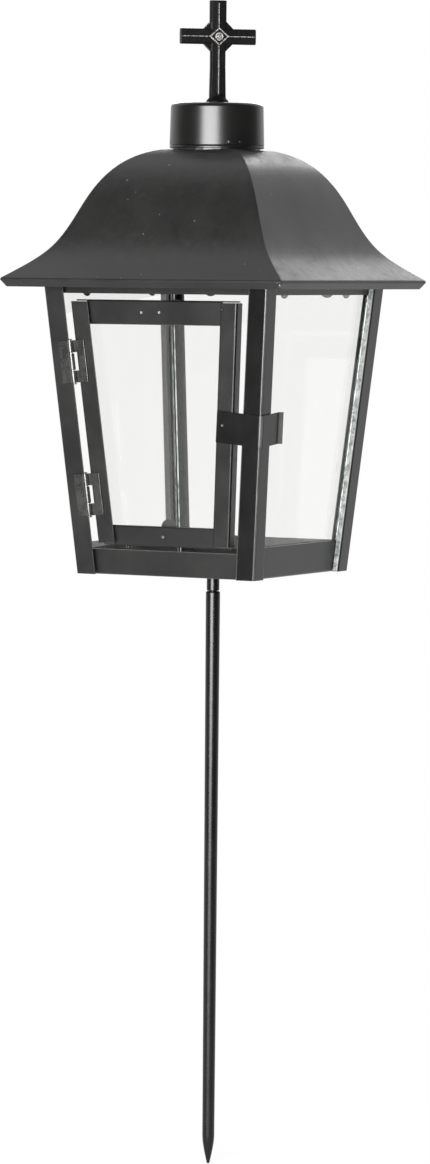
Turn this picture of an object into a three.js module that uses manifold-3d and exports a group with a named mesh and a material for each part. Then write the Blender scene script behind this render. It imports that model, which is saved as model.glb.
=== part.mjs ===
// A grave lantern on a ground spike: a tapering four-sided body of folded sheet, a glazed door on two butt
// hinges, an ogee roof of square plan, a round cap with a cast cross, and a pointed spike under the floor.
// Millimetres, +Z up. The door faces -Y, and the origin is the spike's tip on the lantern's axis.

import * as THREE from 'three';
import { mergeVertices } from 'three/addons/utils/BufferGeometryUtils.js';
import Module from 'manifold-3d';

const wasm = await Module();
wasm.setup();

// Clearances and sheets
const seatGap = 0.3;
const overrun = 3;
const frameSheet = 0.8;
const doorSheet = 0.7;
const roofSheet = 0.8;
const capSheet = 0.6;
const clipSheet = 0.6;
const bendRadius = 0.4;

// Body: its walls lean outwards from the foot to the eave
const footSide = 100;
const headSide = 125.2;
const bodyHeight = 142.1;
const postFace = 10.6;
const lipDepth = 3.2;
const frontRailHeight = 12.6;
const sideRailHeight = 15.7;
const railFoot = 12;
const headRailDrop = 3;
const headRailFlange = 6.5;
const glass = 2;
const glassCover = 5.9;
const floorSheet = 1;

// Glass clips
const clipWidth = 8.5;
const clipSpacing = 66;
const clipReach = 1.6;
const doorClipRoot = 4;
const doorClipReach = 3.6;
const doorClipCover = 2.4;

// Door
const hingeGap = 3.7;
const latchGapFoot = 4;
const latchGapHead = 5.6;
const doorFootGap = 2.3;
const doorHeadGap = 3;
const stileWidth = 9.5;
const doorHeadWidth = 12.1;
const doorFootWidth = 10;
const doorLip = 4.5;
const doorFlange = 5.5;
const railSetback = 3;
const railFlange = 3.3;
const flangeNotch = 1.6;

// Hinges
const hingeLength = 21;
const knuckleLength = 8.2;
const knuckleGap = 0.4;
const knuckleRadius = 1.5;
const knuckleBore = 1;
const leafSheet = 0.8;
const postLeaf = 7;
const doorLeaf = 7.4;
const leafSlot = 2;
const pinRadius = 0.7;
const pinHeadRadius = 1.3;
const pinHead = 0.5;
const lowerHingeInset = 24.7;
const upperHingeInset = 30.8;

// Latch strap
const strapHeight = 15.6;
const strapRise = 58.3;
const strapSheet = 0.8;
const strapBend = 1.2;
const strapLeg = 16.4;
const strapLip = 3.1;
const strapLipAngle = THREE.MathUtils.degToRad(50);
const strapInset = 1;

// Roof
const eaveOverhang = 16.4;
const eaveDrop = 3.8;
const eaveTuck = 2.7;
const eaveBend = 0.5;
const eaveSlope = THREE.MathUtils.degToRad(35.9);
const waistSide = 100.8;
const waistRise = 33.9;
const waistSlope = THREE.MathUtils.degToRad(66.4);
const neckSide = 40;
const neckRise = 64.7;
const neckSlope = THREE.MathUtils.degToRad(10);
const flareHandleShares = [0.48, 0.465];
const crownHandleShares = [0.326, 0.409];
const throatShare = 0.75;
const hipRadius = 1.2;
const mitreWidth = 1.6;

// Chimney collar and cap
const capRadius = 23.6;
const capTaper = 0.5;
const capHeight = 22.4;
const capEdgeRadius = 2.2;
const capRimGap = 1.6;
const rimHem = 1.1;
const rimGroove = 0.25;
const grooveWidth = 0.5;
const dimpleDepth = 0.8;
const dimpleRadius = 1.2;
const dentRadius = 0.9;
const dentDepth = 0.45;
const dimpleLevel = 2.9;
const dimpleCount = 4;
const dimpleTurn = THREE.MathUtils.degToRad(42.2);
const collarSheet = 0.6;
const collarHeight = 14;
const collarFlange = 3.5;

// A pressed or headed dome, as shares of its radius and of its rise
const domeShare = 0.6;
const domeRiseShare = 0.8;

// Cross
const crossHeight = 50.7;
const crossSpan = 38.3;
const crossArmLevel = 32.8;
const crossArmHeight = 7.7;
const crossStemWidth = 8.3;
const crossWaistWidth = 7.6;
const crossWaistLevel = 18;
const crossFillet = 3.6;
const crossThickness = 5.4;
const crossEdge = 3.2;
const crossEndRadius = 0.8;
const lozengeSpan = 9.8;
const lozengeHeight = 8.8;
const lozengeRaise = 0.35;
const rosetteRadius = 2.2;
const rosetteRaise = 0.9;
const crossFootWidth = 11.3;
const crossFootDepth = 8.4;
const crossFootHeight = 3.6;
const crossTurn = THREE.MathUtils.degToRad(43);
const studRadius = 1.5;
const studEnd = 0.8;
const nutAcross = 5.5;
const nutHeight = 2.4;

// Spike and its socket
const rodLength = 289.8;
const rodTopRadius = 3.6;
const rodEndRadius = 3.05;
const pointLength = 12.8;
const tipRadius = 0.7;
const rodChamfer = 0.6;
const neckRadius = 3.2;
const neckLength = 9.3;
const neckChamfer = 0.3;
const tenonRadius = 2.1;
const socketFlange = 8;
const socketFlangeHeight = 1.2;

// Facets
const bendSteps = 2;
const hipSteps = 3;
const curveSteps = 11;
const turnedFacets = 32;
const smallFacets = 20;
const nutSides = 6;
const settleRounds = 12;

// Finishes
const finishes = {
  frame: { color: 0x2c2b2c, roughness: 0.5, metalness: 0.25 },
  roof: { color: 0x2e2d2e, roughness: 0.55, metalness: 0.25 },
  cap: { color: 0x2a292a, roughness: 0.38, metalness: 0.35 },
  cross: { color: 0x0d0d0e, roughness: 0.35, metalness: 0.4 },
  spike: { color: 0x181818, roughness: 0.32, metalness: 0.4 },
  pin: { color: 0x3a3a3b, roughness: 0.35, metalness: 0.6 },
  glass: { color: 0xf2f6f4, roughness: 0.04, metalness: 0, transparent: true, opacity: 0.25 },
};

// Levels in the body's own frame, whose zero is the body's foot
const wallLean = (headSide - footSide) / 2 / bodyHeight;
const footLevel = rodLength + seatGap + neckLength;
const eaveLevel = bodyHeight + eaveDrop;
const eaveSide = headSide + 2 * eaveOverhang;
const webDepth = lipDepth + seatGap;
const paneDepth = webDepth + frameSheet + seatGap;
const paneBack = paneDepth + glass;
const headRailLevel = bodyHeight - headRailDrop;
const paneTop = headRailLevel + glassCover;
const headRailTop = paneTop + 2 * seatGap + clipSheet + frameSheet;
const floorTop = frameSheet + seatGap + floorSheet;
const doorFoot = frontRailHeight + doorFootGap;
const doorHead = headRailLevel - doorHeadGap;
const lowerHinge = doorFoot + lowerHingeInset;
const upperHinge = doorHead - upperHingeInset;
const strapLevel = doorFoot + strapRise;
const doorPaneDepth = doorLip + seatGap;
const doorEdge = postFace + hingeGap;

// Half the body's width at a level above its foot
function wallHalf(level) {
  return footSide / 2 + wallLean * level;
}

// Outer edge of the door on its latch side, whose gap to the post widens towards the head
function latchEdge(level) {
  const share = (level - doorFoot) / (doorHead - doorFoot);
  return wallHalf(level) - postFace - latchGapFoot - (latchGapHead - latchGapFoot) * share;
}

const latchLean = (latchEdge(doorHead) - latchEdge(doorFoot)) / (doorHead - doorFoot);

// Solids

function toSolid(geometry) {
  const bare = geometry.clone();
  bare.deleteAttribute('normal');
  bare.deleteAttribute('uv');
  const welded = mergeVertices(bare);
  const index = welded.index.array;
  const triangles = [];
  for (let i = 0; i < index.length; i += 3) {
    const [a, b, c] = [index[i], index[i + 1], index[i + 2]];
    if (a !== b && b !== c && c !== a) triangles.push(a, b, c);
  }
  const mesh = new wasm.Mesh({
    numProp: 3,
    vertProperties: Float32Array.from(welded.attributes.position.array),
    triVerts: Uint32Array.from(triangles),
  });
  return new wasm.Manifold(mesh);
}

function toGeometry(solid) {
  const mesh = solid.getMesh();
  const geometry = new THREE.BufferGeometry();
  geometry.setAttribute('position', new THREE.BufferAttribute(mesh.vertProperties, 3));
  geometry.setIndex(new THREE.BufferAttribute(mesh.triVerts, 1));
  geometry.computeVertexNormals();
  return geometry;
}

function joined(...geometries) {
  return toGeometry(geometries.map(toSolid).reduce((whole, next) => whole.add(next)));
}

function cut(geometry, ...tools) {
  return toGeometry(tools.map(toSolid).reduce((rest, tool) => rest.subtract(tool), toSolid(geometry)));
}

function common(geometry, ...others) {
  return toGeometry(others.map(toSolid).reduce((rest, other) => rest.intersect(other), toSolid(geometry)));
}

// Turns a closed mesh right side out when its faces point inwards
function facedOut(geometry) {
  const position = geometry.attributes.position;
  const index = geometry.index;
  const [a, b, c] = [new THREE.Vector3(), new THREE.Vector3(), new THREE.Vector3()];
  let volume = 0;
  for (let i = 0; i < index.count; i += 3) {
    a.fromBufferAttribute(position, index.getX(i));
    b.fromBufferAttribute(position, index.getX(i + 1));
    c.fromBufferAttribute(position, index.getX(i + 2));
    volume += a.dot(b.cross(c));
  }
  if (volume < 0) {
    for (let i = 0; i < index.count; i += 3) {
      const first = index.getX(i);
      index.setX(i, index.getX(i + 2));
      index.setX(i + 2, first);
    }
    geometry.computeVertexNormals();
  }
  return geometry;
}

// A box between two corners
function block(low, high) {
  const size = new THREE.Vector3().subVectors(high, low);
  const geometry = new THREE.BoxGeometry(size.x, size.y, size.z);
  const middle = new THREE.Vector3().addVectors(low, high).multiplyScalar(1 / 2);
  return geometry.translate(middle.x, middle.y, middle.z);
}

// A turned piece: its closed outline of [radius, level] pairs, revolved about Z
function turned(outline, facets = turnedFacets) {
  const points = [...outline, outline[0]].map(([radius, level]) => new THREE.Vector2(radius, level));
  const geometry = new THREE.LatheGeometry(points, facets);
  geometry.rotateX(Math.PI / 2);
  return facedOut(geometry);
}

// Sheet metal

function leftOf(direction) {
  return new THREE.Vector2(-direction.y, direction.x);
}

// The path of one face of a folded sheet, with its corners rounded. The sheet lies on the path's left, so a
// corner that turns left is on the outside of the fold.
function foldedPath(corners, sheet, radius) {
  const path = [];
  corners.forEach(([x, y], i) => {
    const corner = new THREE.Vector2(x, y);
    if (i === 0 || i === corners.length - 1) {
      path.push(corner);
      return;
    }
    const arriving = corner.clone().sub(new THREE.Vector2(...corners[i - 1])).normalize();
    const leaving = new THREE.Vector2(...corners[i + 1]).sub(corner).normalize();
    const turn = Math.atan2(arriving.cross(leaving), arriving.dot(leaving));
    const faceRadius = turn > 0 ? radius + sheet : radius;
    const start = corner.clone().addScaledVector(arriving, -faceRadius * Math.tan(Math.abs(turn) / 2));
    const centre = start.clone().addScaledVector(leftOf(arriving), Math.sign(turn) * faceRadius);
    for (let step = 0; step <= bendSteps; step += 1) {
      path.push(start.clone().rotateAround(centre, (turn * step) / bendSteps));
    }
  });
  return path;
}

// The closed outline of a sheet that follows a path on its left
function sheetOutline(path, sheet) {
  const directions = path.slice(1).map((point, i) => point.clone().sub(path[i]).normalize());
  const farSide = path.map((point, i) => {
    const arriving = leftOf(directions[Math.max(i - 1, 0)]);
    const leaving = leftOf(directions[Math.min(i, directions.length - 1)]);
    const normal = arriving.clone().add(leaving).normalize();
    return point.clone().addScaledVector(normal, sheet / normal.dot(arriving));
  });
  return [...path, ...farSide.reverse()];
}

function foldedSheet(corners, sheet, radius = bendRadius) {
  return new THREE.Shape(sheetOutline(foldedPath(corners, sheet, radius), sheet));
}

function extruded(shape, length) {
  return new THREE.ExtrudeGeometry(shape, { depth: length, bevelEnabled: false, curveSegments: curveSteps });
}

// Leans a piece: x and y move outwards with the level by these rates
function leaned(geometry, xRate, yRate) {
  const shear = new THREE.Matrix4().set(1, 0, xRate, 0, 0, 1, yRate, 0, 0, 0, 1, 0, 0, 0, 0, 1);
  return geometry.applyMatrix4(shear);
}

// A section of [distance from the left wall, depth], run upwards along the front left corner
function alongCorner(shape, foot, head) {
  const geometry = extruded(shape, head - foot).translate(0, 0, foot);
  return leaned(geometry, -wallLean, -wallLean).translate(-footSide / 2, -footSide / 2, 0);
}

// A section of [depth, level], run along the front wall
function alongWall(shape, length) {
  const geometry = extruded(shape, length).translate(0, 0, -length / 2);
  const toWall = new THREE.Matrix4().makeBasis(
    new THREE.Vector3(0, 1, 0),
    new THREE.Vector3(0, 0, 1),
    new THREE.Vector3(1, 0, 0),
  );
  return leaned(geometry.applyMatrix4(toWall), 0, -wallLean).translate(0, -footSide / 2, 0);
}

// An outline of [x, level] in the front wall, as a plate that starts at a depth
function inWall(shape, depth, sheet) {
  const toWall = new THREE.Matrix4().makeBasis(
    new THREE.Vector3(1, 0, 0),
    new THREE.Vector3(0, 0, 1),
    new THREE.Vector3(0, -1, 0),
  );
  const geometry = extruded(shape, sheet).applyMatrix4(toWall).translate(0, depth + sheet, 0);
  return leaned(geometry, 0, -wallLean).translate(0, -footSide / 2, 0);
}

// Four-sided outline between two levels, given its edges at each
function trapezoid(foot, head, footEdges, headEdges) {
  return new THREE.Shape([
    new THREE.Vector2(footEdges[0], foot),
    new THREE.Vector2(footEdges[1], foot),
    new THREE.Vector2(headEdges[1], head),
    new THREE.Vector2(headEdges[0], head),
  ]);
}

// The front quarter of the plan, bounded by the mitres that run to the corners
function frontQuarter(low, high) {
  const reach = eaveSide;
  const apex = -seatGap / Math.SQRT2;
  const shape = new THREE.Shape([
    new THREE.Vector2(0, apex),
    new THREE.Vector2(-reach, apex - reach),
    new THREE.Vector2(reach, apex - reach),
  ]);
  return extruded(shape, high - low).translate(0, 0, low);
}

// Assembly

const lantern = new THREE.Group();
const body = new THREE.Group();
body.position.z = footLevel;
lantern.add(body);

function addPiece(name, geometry, finish, parent = body, quarterTurns = 0) {
  const piece = new THREE.Mesh(geometry, new THREE.MeshStandardMaterial(finishes[finish]));
  piece.name = name;
  piece.rotation.z = (quarterTurns * Math.PI) / 2;
  parent.add(piece);
  return piece;
}

// Quarter turns about the axis carry the front wall to each wall, and the front left corner to each corner
const walls = ['front', 'right', 'back', 'left'];
const corners = ['front_left', 'front_right', 'back_right', 'back_left'];

// Roof

// A point on the roof's face, and a point one handle further along its slope
function slopeHandle(half, rise, slope, reach) {
  return new THREE.Vector2(half - reach * Math.cos(slope), eaveLevel + rise + reach * Math.sin(slope));
}

// The roof's outer face as [half the side, level], from the tuck under the eave up to the throat
function roofPath() {
  const eave = new THREE.Vector2(eaveSide / 2, eaveLevel);
  const waist = new THREE.Vector2(waistSide / 2, eaveLevel + waistRise);
  const neck = new THREE.Vector2(neckSide / 2, eaveLevel + neckRise);
  const flareChord = eave.distanceTo(waist);
  const crownChord = waist.distanceTo(neck);
  const flare = new THREE.CubicBezierCurve(
    eave,
    slopeHandle(eave.x, 0, eaveSlope, flareHandleShares[0] * flareChord),
    slopeHandle(waist.x, waistRise, waistSlope, -flareHandleShares[1] * flareChord),
    waist,
  );
  const crown = new THREE.CubicBezierCurve(
    waist,
    slopeHandle(waist.x, waistRise, waistSlope, crownHandleShares[0] * crownChord),
    slopeHandle(neck.x, neckRise, neckSlope, -crownHandleShares[1] * crownChord),
    neck,
  );
  const curve = [...flare.getSpacedPoints(curveSteps), ...crown.getSpacedPoints(curveSteps).slice(1)];
  const fold = foldedPath(
    [[eave.x - eaveTuck, eave.y - eaveDrop], [eave.x, eave.y], [curve[1].x, curve[1].y]],
    roofSheet,
    eaveBend,
  );
  const throat = new THREE.Vector2(neck.x * throatShare, neck.y);
  return [...fold.slice(0, -1), ...curve.slice(1), throat];
}

const roofOuter = roofPath();
const roofOutline = sheetOutline(roofOuter, roofSheet);
const roofInner = roofOutline.slice(roofOuter.length);

// The level of a roof face where the square plan has the given half side
function roofLevel(face, half) {
  const rising = face.filter((point) => point.y > eaveLevel - roofSheet);
  for (let i = 1; i < rising.length; i += 1) {
    const [a, b] = [rising[i - 1], rising[i]];
    if ((a.x - half) * (b.x - half) <= 0 && a.x !== b.x) {
      return THREE.MathUtils.mapLinear(half, a.x, b.x, a.y, b.y);
    }
  }
  return eaveLevel + neckRise;
}

// Revolves an outline, then draws each round ring out to a square with rounded hips
function squareTurned(outline) {
  const sides = walls.length;
  const perSide = hipSteps + 1;
  const geometry = new THREE.LatheGeometry([...outline, outline[0]], sides * perSide);
  geometry.rotateX(Math.PI / 2);
  const position = geometry.attributes.position;
  const step = (2 * Math.PI) / (sides * perSide);
  for (let i = 0; i < position.count; i += 1) {
    const half = Math.hypot(position.getX(i), position.getY(i));
    const place = Math.round(Math.atan2(position.getY(i), position.getX(i)) / step) + sides * perSide;
    const corner = Math.floor(place / perSide);
    const radius = Math.min(hipRadius, half);
    const point = new THREE.Vector2(half - radius, half - radius);
    const swing = ((place % perSide) / hipSteps) * (Math.PI / 2);
    point.x += radius * Math.cos(swing);
    point.y += radius * Math.sin(swing);
    point.rotateAround(new THREE.Vector2(), (corner * Math.PI) / 2);
    position.setXY(i, point.x, point.y);
  }
  return facedOut(geometry);
}

// The eave's fold is open at its mitres
function eaveMitre(quarter) {
  const reach = eaveTuck + eaveDrop;
  const corner = (eaveSide / 2) * Math.SQRT2;
  const slot = block(
    new THREE.Vector3(corner - 2 * reach, -mitreWidth / 2, eaveLevel - eaveDrop - overrun),
    new THREE.Vector3(corner + reach, mitreWidth / 2, eaveLevel - roofSheet),
  );
  return slot.rotateZ(Math.PI / 4 + (quarter * Math.PI) / 2);
}

const collarRadius = capRadius - capSheet - dimpleDepth - seatGap;

function buildRoof() {
  const shell = squareTurned(roofOutline);
  const throat = new THREE.CylinderGeometry(
    collarRadius + seatGap,
    collarRadius + seatGap,
    2 * neckRise,
    turnedFacets,
  );
  throat.rotateX(Math.PI / 2).translate(0, 0, eaveLevel + neckRise);
  addPiece('roof', cut(shell, throat, ...walls.map((wall, i) => eaveMitre(i))), 'roof');
}

// Frame

// The posts end where their outer faces meet the roof's inner face
function postHead() {
  let head = eaveLevel;
  for (let round = 0; round < settleRounds; round += 1) {
    head = roofLevel(roofInner, wallHalf(head) + seatGap) - seatGap;
  }
  return head;
}

function buildPosts() {
  const section = foldedSheet(
    [[lipDepth, postFace], [0, postFace], [0, 0], [postFace, 0], [postFace, lipDepth]],
    frameSheet,
  );
  corners.forEach((corner, i) => {
    addPiece(`post_${corner}`, alongCorner(section, 0, postHead()), 'frame', body, i);
  });
}

// Both rails of a wall are angles behind the posts' lips. They are mitred to their neighbours.
function buildRails() {
  walls.forEach((wall, i) => {
    const height = wall === 'front' ? frontRailHeight : sideRailHeight;
    const low = foldedSheet([[webDepth, height], [webDepth, 0], [railFoot, 0]], frameSheet);
    const lowRail = common(alongWall(low, headSide), frontQuarter(-overrun, height + overrun));
    addPiece(`bottom_rail_${wall}`, lowRail, 'frame', body, i);
    const high = foldedSheet(
      [[webDepth + headRailFlange, headRailTop], [webDepth, headRailTop], [webDepth, headRailLevel]],
      frameSheet,
    );
    const headQuarter = frontQuarter(headRailLevel - overrun, headRailTop + overrun);
    const highRail = common(alongWall(high, eaveSide), headQuarter);
    addPiece(`top_rail_${wall}`, highRail, 'frame', body, i);
  });
}

// The floor lies on the rails' feet, and its edge closes the groove that the panes stand in
function buildFloor() {
  const half = wallHalf(frameSheet) - paneBack - seatGap;
  const plate = new THREE.Shape([
    new THREE.Vector2(-half, -half),
    new THREE.Vector2(half, -half),
    new THREE.Vector2(half, half),
    new THREE.Vector2(-half, half),
  ]);
  const hole = new THREE.Path().absarc(0, 0, neckRadius + seatGap, 0, 2 * Math.PI, true);
  plate.holes.push(hole);
  addPiece('floor_plate', extruded(plate, floorSheet).translate(0, 0, floorTop - floorSheet), 'frame');
}

function buildPanes() {
  const foot = frameSheet + seatGap;
  const footHalf = wallHalf(foot) - paneBack - seatGap;
  const headHalf = wallHalf(paneTop) - paneBack - seatGap;
  const outline = trapezoid(foot, paneTop, [-footHalf, footHalf], [-headHalf, headHalf]);
  walls.forEach((wall, i) => {
    if (wall === 'front') return;
    addPiece(`pane_${wall}`, inWall(outline, paneDepth, glass), 'glass', body, i);
  });
}

// Glass clips

// A bent strip with a half-round tongue. Its side view is given as bends of [depth, level], and its tongue
// ends at the tip level, upwards or downwards.
function glassClip(bends, tip, upwards) {
  const levels = bends.map(([, level]) => level);
  const root = upwards ? Math.min(...levels) - overrun : Math.max(...levels) + overrun;
  const radius = clipWidth / 2;
  const way = upwards ? 1 : -1;
  const outline = new THREE.Shape();
  outline.moveTo(-radius, root);
  outline.lineTo(radius, root);
  outline.lineTo(radius, tip - way * radius);
  outline.absarc(0, tip - way * radius, radius, 0, way * Math.PI, !upwards);
  const strip = alongWall(foldedSheet(bends, clipSheet), clipWidth);
  return common(strip, inWall(outline, -overrun, paneBack + 2 * overrun + clipSheet));
}

// A clip lies on the pane's edge under the top rail's flange, and its tongue holds the pane's inner face
function buildPaneClips() {
  const shelf = paneTop + seatGap;
  const back = paneBack + seatGap;
  const tip = headRailLevel - clipReach;
  const clip = glassClip([[paneDepth, shelf], [back, shelf], [back, tip]], tip, false);
  walls.forEach((wall, i) => {
    if (wall === 'front') return;
    ['a', 'b'].forEach((mark, side) => {
      const shifted = clip.clone().translate((side - 1 / 2) * clipSpacing, 0, 0);
      addPiece(`pane_clip_${wall}_${mark}`, shifted, 'frame', body, i);
    });
  });
}

// Door

// A channel section: its face lies along x from 0, and its two flanges run back from it
function channel(width, leftDepth, rightDepth) {
  return foldedSheet([[0, leftDepth], [0, 0], [width, 0], [width, rightDepth]], doorSheet);
}

const door = new THREE.Group();
body.add(door);

const railInset = stileWidth + seatGap;
const stileHead = doorHead - doorSheet - seatGap;
const stileFoot = doorFoot + doorSheet + seatGap;

function doorPart(name, geometry, finish = 'frame') {
  return addPiece(name, geometry, finish, door);
}

// Door edges at a level, moved inwards by an inset
function doorEdges(level, inset) {
  return [-wallHalf(level) + doorEdge + inset, latchEdge(level) - inset];
}

function hingeStile() {
  const section = channel(stileWidth, doorFlange, doorLip);
  const geometry = extruded(section, stileHead - stileFoot).translate(doorEdge, 0, stileFoot);
  return leaned(geometry, -wallLean, -wallLean).translate(-footSide / 2, -footSide / 2, 0);
}

function latchStile() {
  const section = channel(stileWidth, doorLip, doorFlange);
  const geometry = extruded(section, stileHead - stileFoot).translate(-stileWidth, 0, stileFoot);
  const start = latchEdge(doorFoot) - latchLean * doorFoot;
  return leaned(geometry, latchLean, -wallLean).translate(start, -footSide / 2, 0);
}

// A door rail is a channel between the stiles. Its flange lies at the door's edge and runs on over their
// ends, and its lip lies at the pane.
function doorRail(flangeLevel, lipLevel) {
  const atHead = flangeLevel > lipLevel;
  const [foot, head] = atHead ? [lipLevel, flangeLevel] : [flangeLevel, lipLevel];
  const flangeBack = railSetback + railFlange;
  const bends = [
    [flangeBack, flangeLevel],
    [railSetback, flangeLevel],
    [railSetback, lipLevel],
    [doorLip, lipLevel],
  ];
  const section = foldedSheet(atHead ? bends : bends.reverse(), doorSheet);
  const depth = flangeBack + 2 * overrun;
  const between = trapezoid(foot, head, doorEdges(foot, railInset), doorEdges(head, railInset));
  const across = trapezoid(foot, head, doorEdges(foot, flangeNotch), doorEdges(head, flangeNotch));
  const flangeFoot = atHead ? flangeLevel - doorSheet : flangeLevel;
  const flange = new THREE.Shape([
    new THREE.Vector2(railSetback + doorSheet, flangeFoot),
    new THREE.Vector2(flangeBack, flangeFoot),
    new THREE.Vector2(flangeBack, flangeFoot + doorSheet),
    new THREE.Vector2(railSetback + doorSheet, flangeFoot + doorSheet),
  ]);
  return joined(
    common(alongWall(section, headSide), inWall(between, -overrun, depth)),
    common(alongWall(flange, headSide), inWall(across, -overrun, depth)),
  );
}

function doorPane() {
  const foot = doorFoot + doorSheet + seatGap + clipSheet + seatGap;
  const head = doorHead - doorSheet - seatGap - clipSheet - seatGap;
  const inset = doorSheet + bendRadius + seatGap;
  return inWall(trapezoid(foot, head, doorEdges(foot, inset), doorEdges(head, inset)), doorPaneDepth, glass);
}

// A door clip is a hook: it lies on the rail's web, passes the pane's edge and holds the pane's inner face
function doorClip(atFoot) {
  const way = atFoot ? 1 : -1;
  const edge = atFoot ? doorFoot : doorHead;
  const shelf = edge + way * (doorSheet + seatGap);
  const web = railSetback + doorSheet + seatGap;
  const back = doorPaneDepth + glass + seatGap + clipSheet;
  const tip = edge + way * (atFoot ? doorFootWidth + doorClipReach : doorHeadWidth - doorClipCover);
  const hook = [
    [web, shelf + way * doorClipRoot],
    [web, shelf],
    [back, shelf],
    [back, tip],
  ];
  return glassClip(atFoot ? hook : hook.reverse(), tip, atFoot);
}

// Latch strap

// A frame at the right post's outer corner: x runs along the front wall, y inwards, and z up the post
function rightPostFrame(level) {
  const up = new THREE.Vector3(wallLean, -wallLean, 1).normalize();
  const inwards = new THREE.Vector3(0, 1, wallLean).normalize();
  const along = new THREE.Vector3().crossVectors(inwards, up);
  const frame = new THREE.Matrix4().makeBasis(along, inwards, up);
  return frame.setPosition(wallHalf(level), -wallHalf(level), level);
}

const strapFace = seatGap + strapSheet;

// The strap runs from the latch stile over the gap and round the post, and ends in a flared finger lip
function latchStrap() {
  const meanGap = (latchGapFoot + latchGapHead) / 2;
  const bends = [
    [strapInset - stileWidth - meanGap - postFace, -strapFace],
    [strapFace, -strapFace],
    [strapFace, strapLeg],
    [strapFace + strapLip * Math.sin(strapLipAngle), strapLeg + strapLip * Math.cos(strapLipAngle)],
  ];
  const strap = extruded(foldedSheet(bends, strapSheet, strapBend), strapHeight);
  return strap.translate(0, 0, -strapHeight / 2).applyMatrix4(rightPostFrame(strapLevel));
}

function buildDoor() {
  doorPart('door_stile_hinge', hingeStile());
  doorPart('door_stile_latch', latchStile());
  doorPart('door_rail_head', doorRail(doorHead, doorHead - doorHeadWidth));
  doorPart('door_rail_foot', doorRail(doorFoot, doorFoot + doorFootWidth));
  doorPart('door_pane', doorPane(), 'glass');
  doorPart('door_clip_foot', doorClip(true));
  doorPart('door_clip_head', doorClip(false));
  doorPart('latch_strap', latchStrap());
}

// Hinges

// A frame on the hinge line: z runs up the line, x along the wall, and y inwards
const hingeStandOff = knuckleRadius + seatGap;

function hingeFrame(level) {
  const up = new THREE.Vector3(-wallLean, -wallLean, 1).normalize();
  const inwards = new THREE.Vector3(0, 1, wallLean).normalize();
  const along = new THREE.Vector3().crossVectors(inwards, up);
  const frame = new THREE.Matrix4().makeBasis(along, inwards, up);
  const half = wallHalf(level);
  const outwards = hingeStandOff * Math.hypot(1, wallLean);
  return frame.setPosition(-half + postFace + hingeGap / 2, -half - outwards, level);
}

function tube(low, high) {
  return turned([
    [knuckleBore, low],
    [knuckleRadius, low],
    [knuckleRadius, high],
    [knuckleBore, high],
  ], smallFacets);
}

// A leaf from the hinge line to one side, with its knuckles and the room for the other leaf's knuckles
function hingeLeaf(side, width, knuckles, rooms, roomWidth) {
  const half = hingeLength / 2;
  const plate = block(
    new THREE.Vector3(Math.min(0, side * width), knuckleRadius - leafSheet, -half),
    new THREE.Vector3(Math.max(0, side * width), knuckleRadius, half),
  );
  const bore = new THREE.CylinderGeometry(knuckleBore, knuckleBore, hingeLength + overrun, smallFacets);
  bore.rotateX(Math.PI / 2);
  const slots = rooms.map(([low, high]) => block(
    new THREE.Vector3(-roomWidth, -knuckleRadius, low),
    new THREE.Vector3(roomWidth, knuckleRadius + overrun, high),
  ));
  return joined(cut(plate, bore, ...slots), ...knuckles.map(([low, high]) => tube(low, high)));
}

function hingePin() {
  const end = hingeLength / 2 + seatGap;
  return turned([
    [0, -end - pinHead],
    [pinHeadRadius, -end - pinHead],
    [pinHeadRadius, -end],
    [pinRadius, -end],
    [pinRadius, end],
    [pinHeadRadius, end],
    [pinHeadRadius, end + pinHead],
    [0, end + pinHead],
  ], smallFacets);
}

// The post's leaf holds the middle knuckle, and the door's leaf the outer two
function buildHinges() {
  const half = hingeLength / 2;
  const middle = [-knuckleLength / 2, knuckleLength / 2];
  const outer = [
    [-half, middle[0] - knuckleGap],
    [middle[1] + knuckleGap, half],
  ];
  const postRooms = [
    [-half - overrun, middle[0]],
    [middle[1], half + overrun],
  ];
  const doorRoom = [middle[0] - knuckleGap, middle[1] + knuckleGap];
  [['lower', lowerHinge], ['upper', upperHinge]].forEach(([name, level]) => {
    const frame = hingeFrame(level);
    const fixed = hingeLeaf(-1, postLeaf, [middle], postRooms, knuckleRadius + seatGap);
    const moving = hingeLeaf(1, doorLeaf, outer, [doorRoom], knuckleRadius + leafSlot);
    addPiece(`hinge_${name}_post_leaf`, fixed.applyMatrix4(frame), 'frame');
    addPiece(`hinge_${name}_pin`, hingePin().applyMatrix4(frame), 'pin');
    addPiece(`hinge_${name}_door_leaf`, moving.applyMatrix4(frame), 'frame', door);
  });
}

// Chimney collar and cap

const rimLevel = roofLevel(roofOuter, capRadius) + capRimGap;

// The collar's flange lies under the roof, and its tube stands up inside the cap
function buildCollar() {
  const flangeTop = roofLevel(roofInner, collarRadius + collarFlange) - seatGap;
  const bore = collarRadius - collarSheet;
  addPiece('chimney_collar', turned([
    [bore, flangeTop - collarSheet],
    [collarRadius + collarFlange, flangeTop - collarSheet],
    [collarRadius + collarFlange, flangeTop],
    [collarRadius, flangeTop],
    [collarRadius, rimLevel + collarHeight],
    [bore, rimLevel + collarHeight],
  ]), 'roof');
}

function capShell() {
  const wall = [
    [capRadius - rimGroove, 0],
    [capRadius, rimGroove],
    [capRadius, rimHem],
    [capRadius - rimGroove, rimHem + grooveWidth / 2],
    [capRadius, rimHem + grooveWidth],
  ].map(([radius, level]) => new THREE.Vector2(radius, level));
  const edge = new THREE.Path().absarc(
    capRadius - capTaper - capEdgeRadius,
    capHeight - capEdgeRadius,
    capEdgeRadius,
    0,
    Math.PI / 2,
  );
  const holeEdge = new THREE.Vector2(studRadius + seatGap, capHeight);
  const path = [...wall, ...edge.getPoints(hipSteps + 1), holeEdge];
  return turned(sheetOutline(path, capSheet).map((point) => [point.x, point.y]));
}

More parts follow.
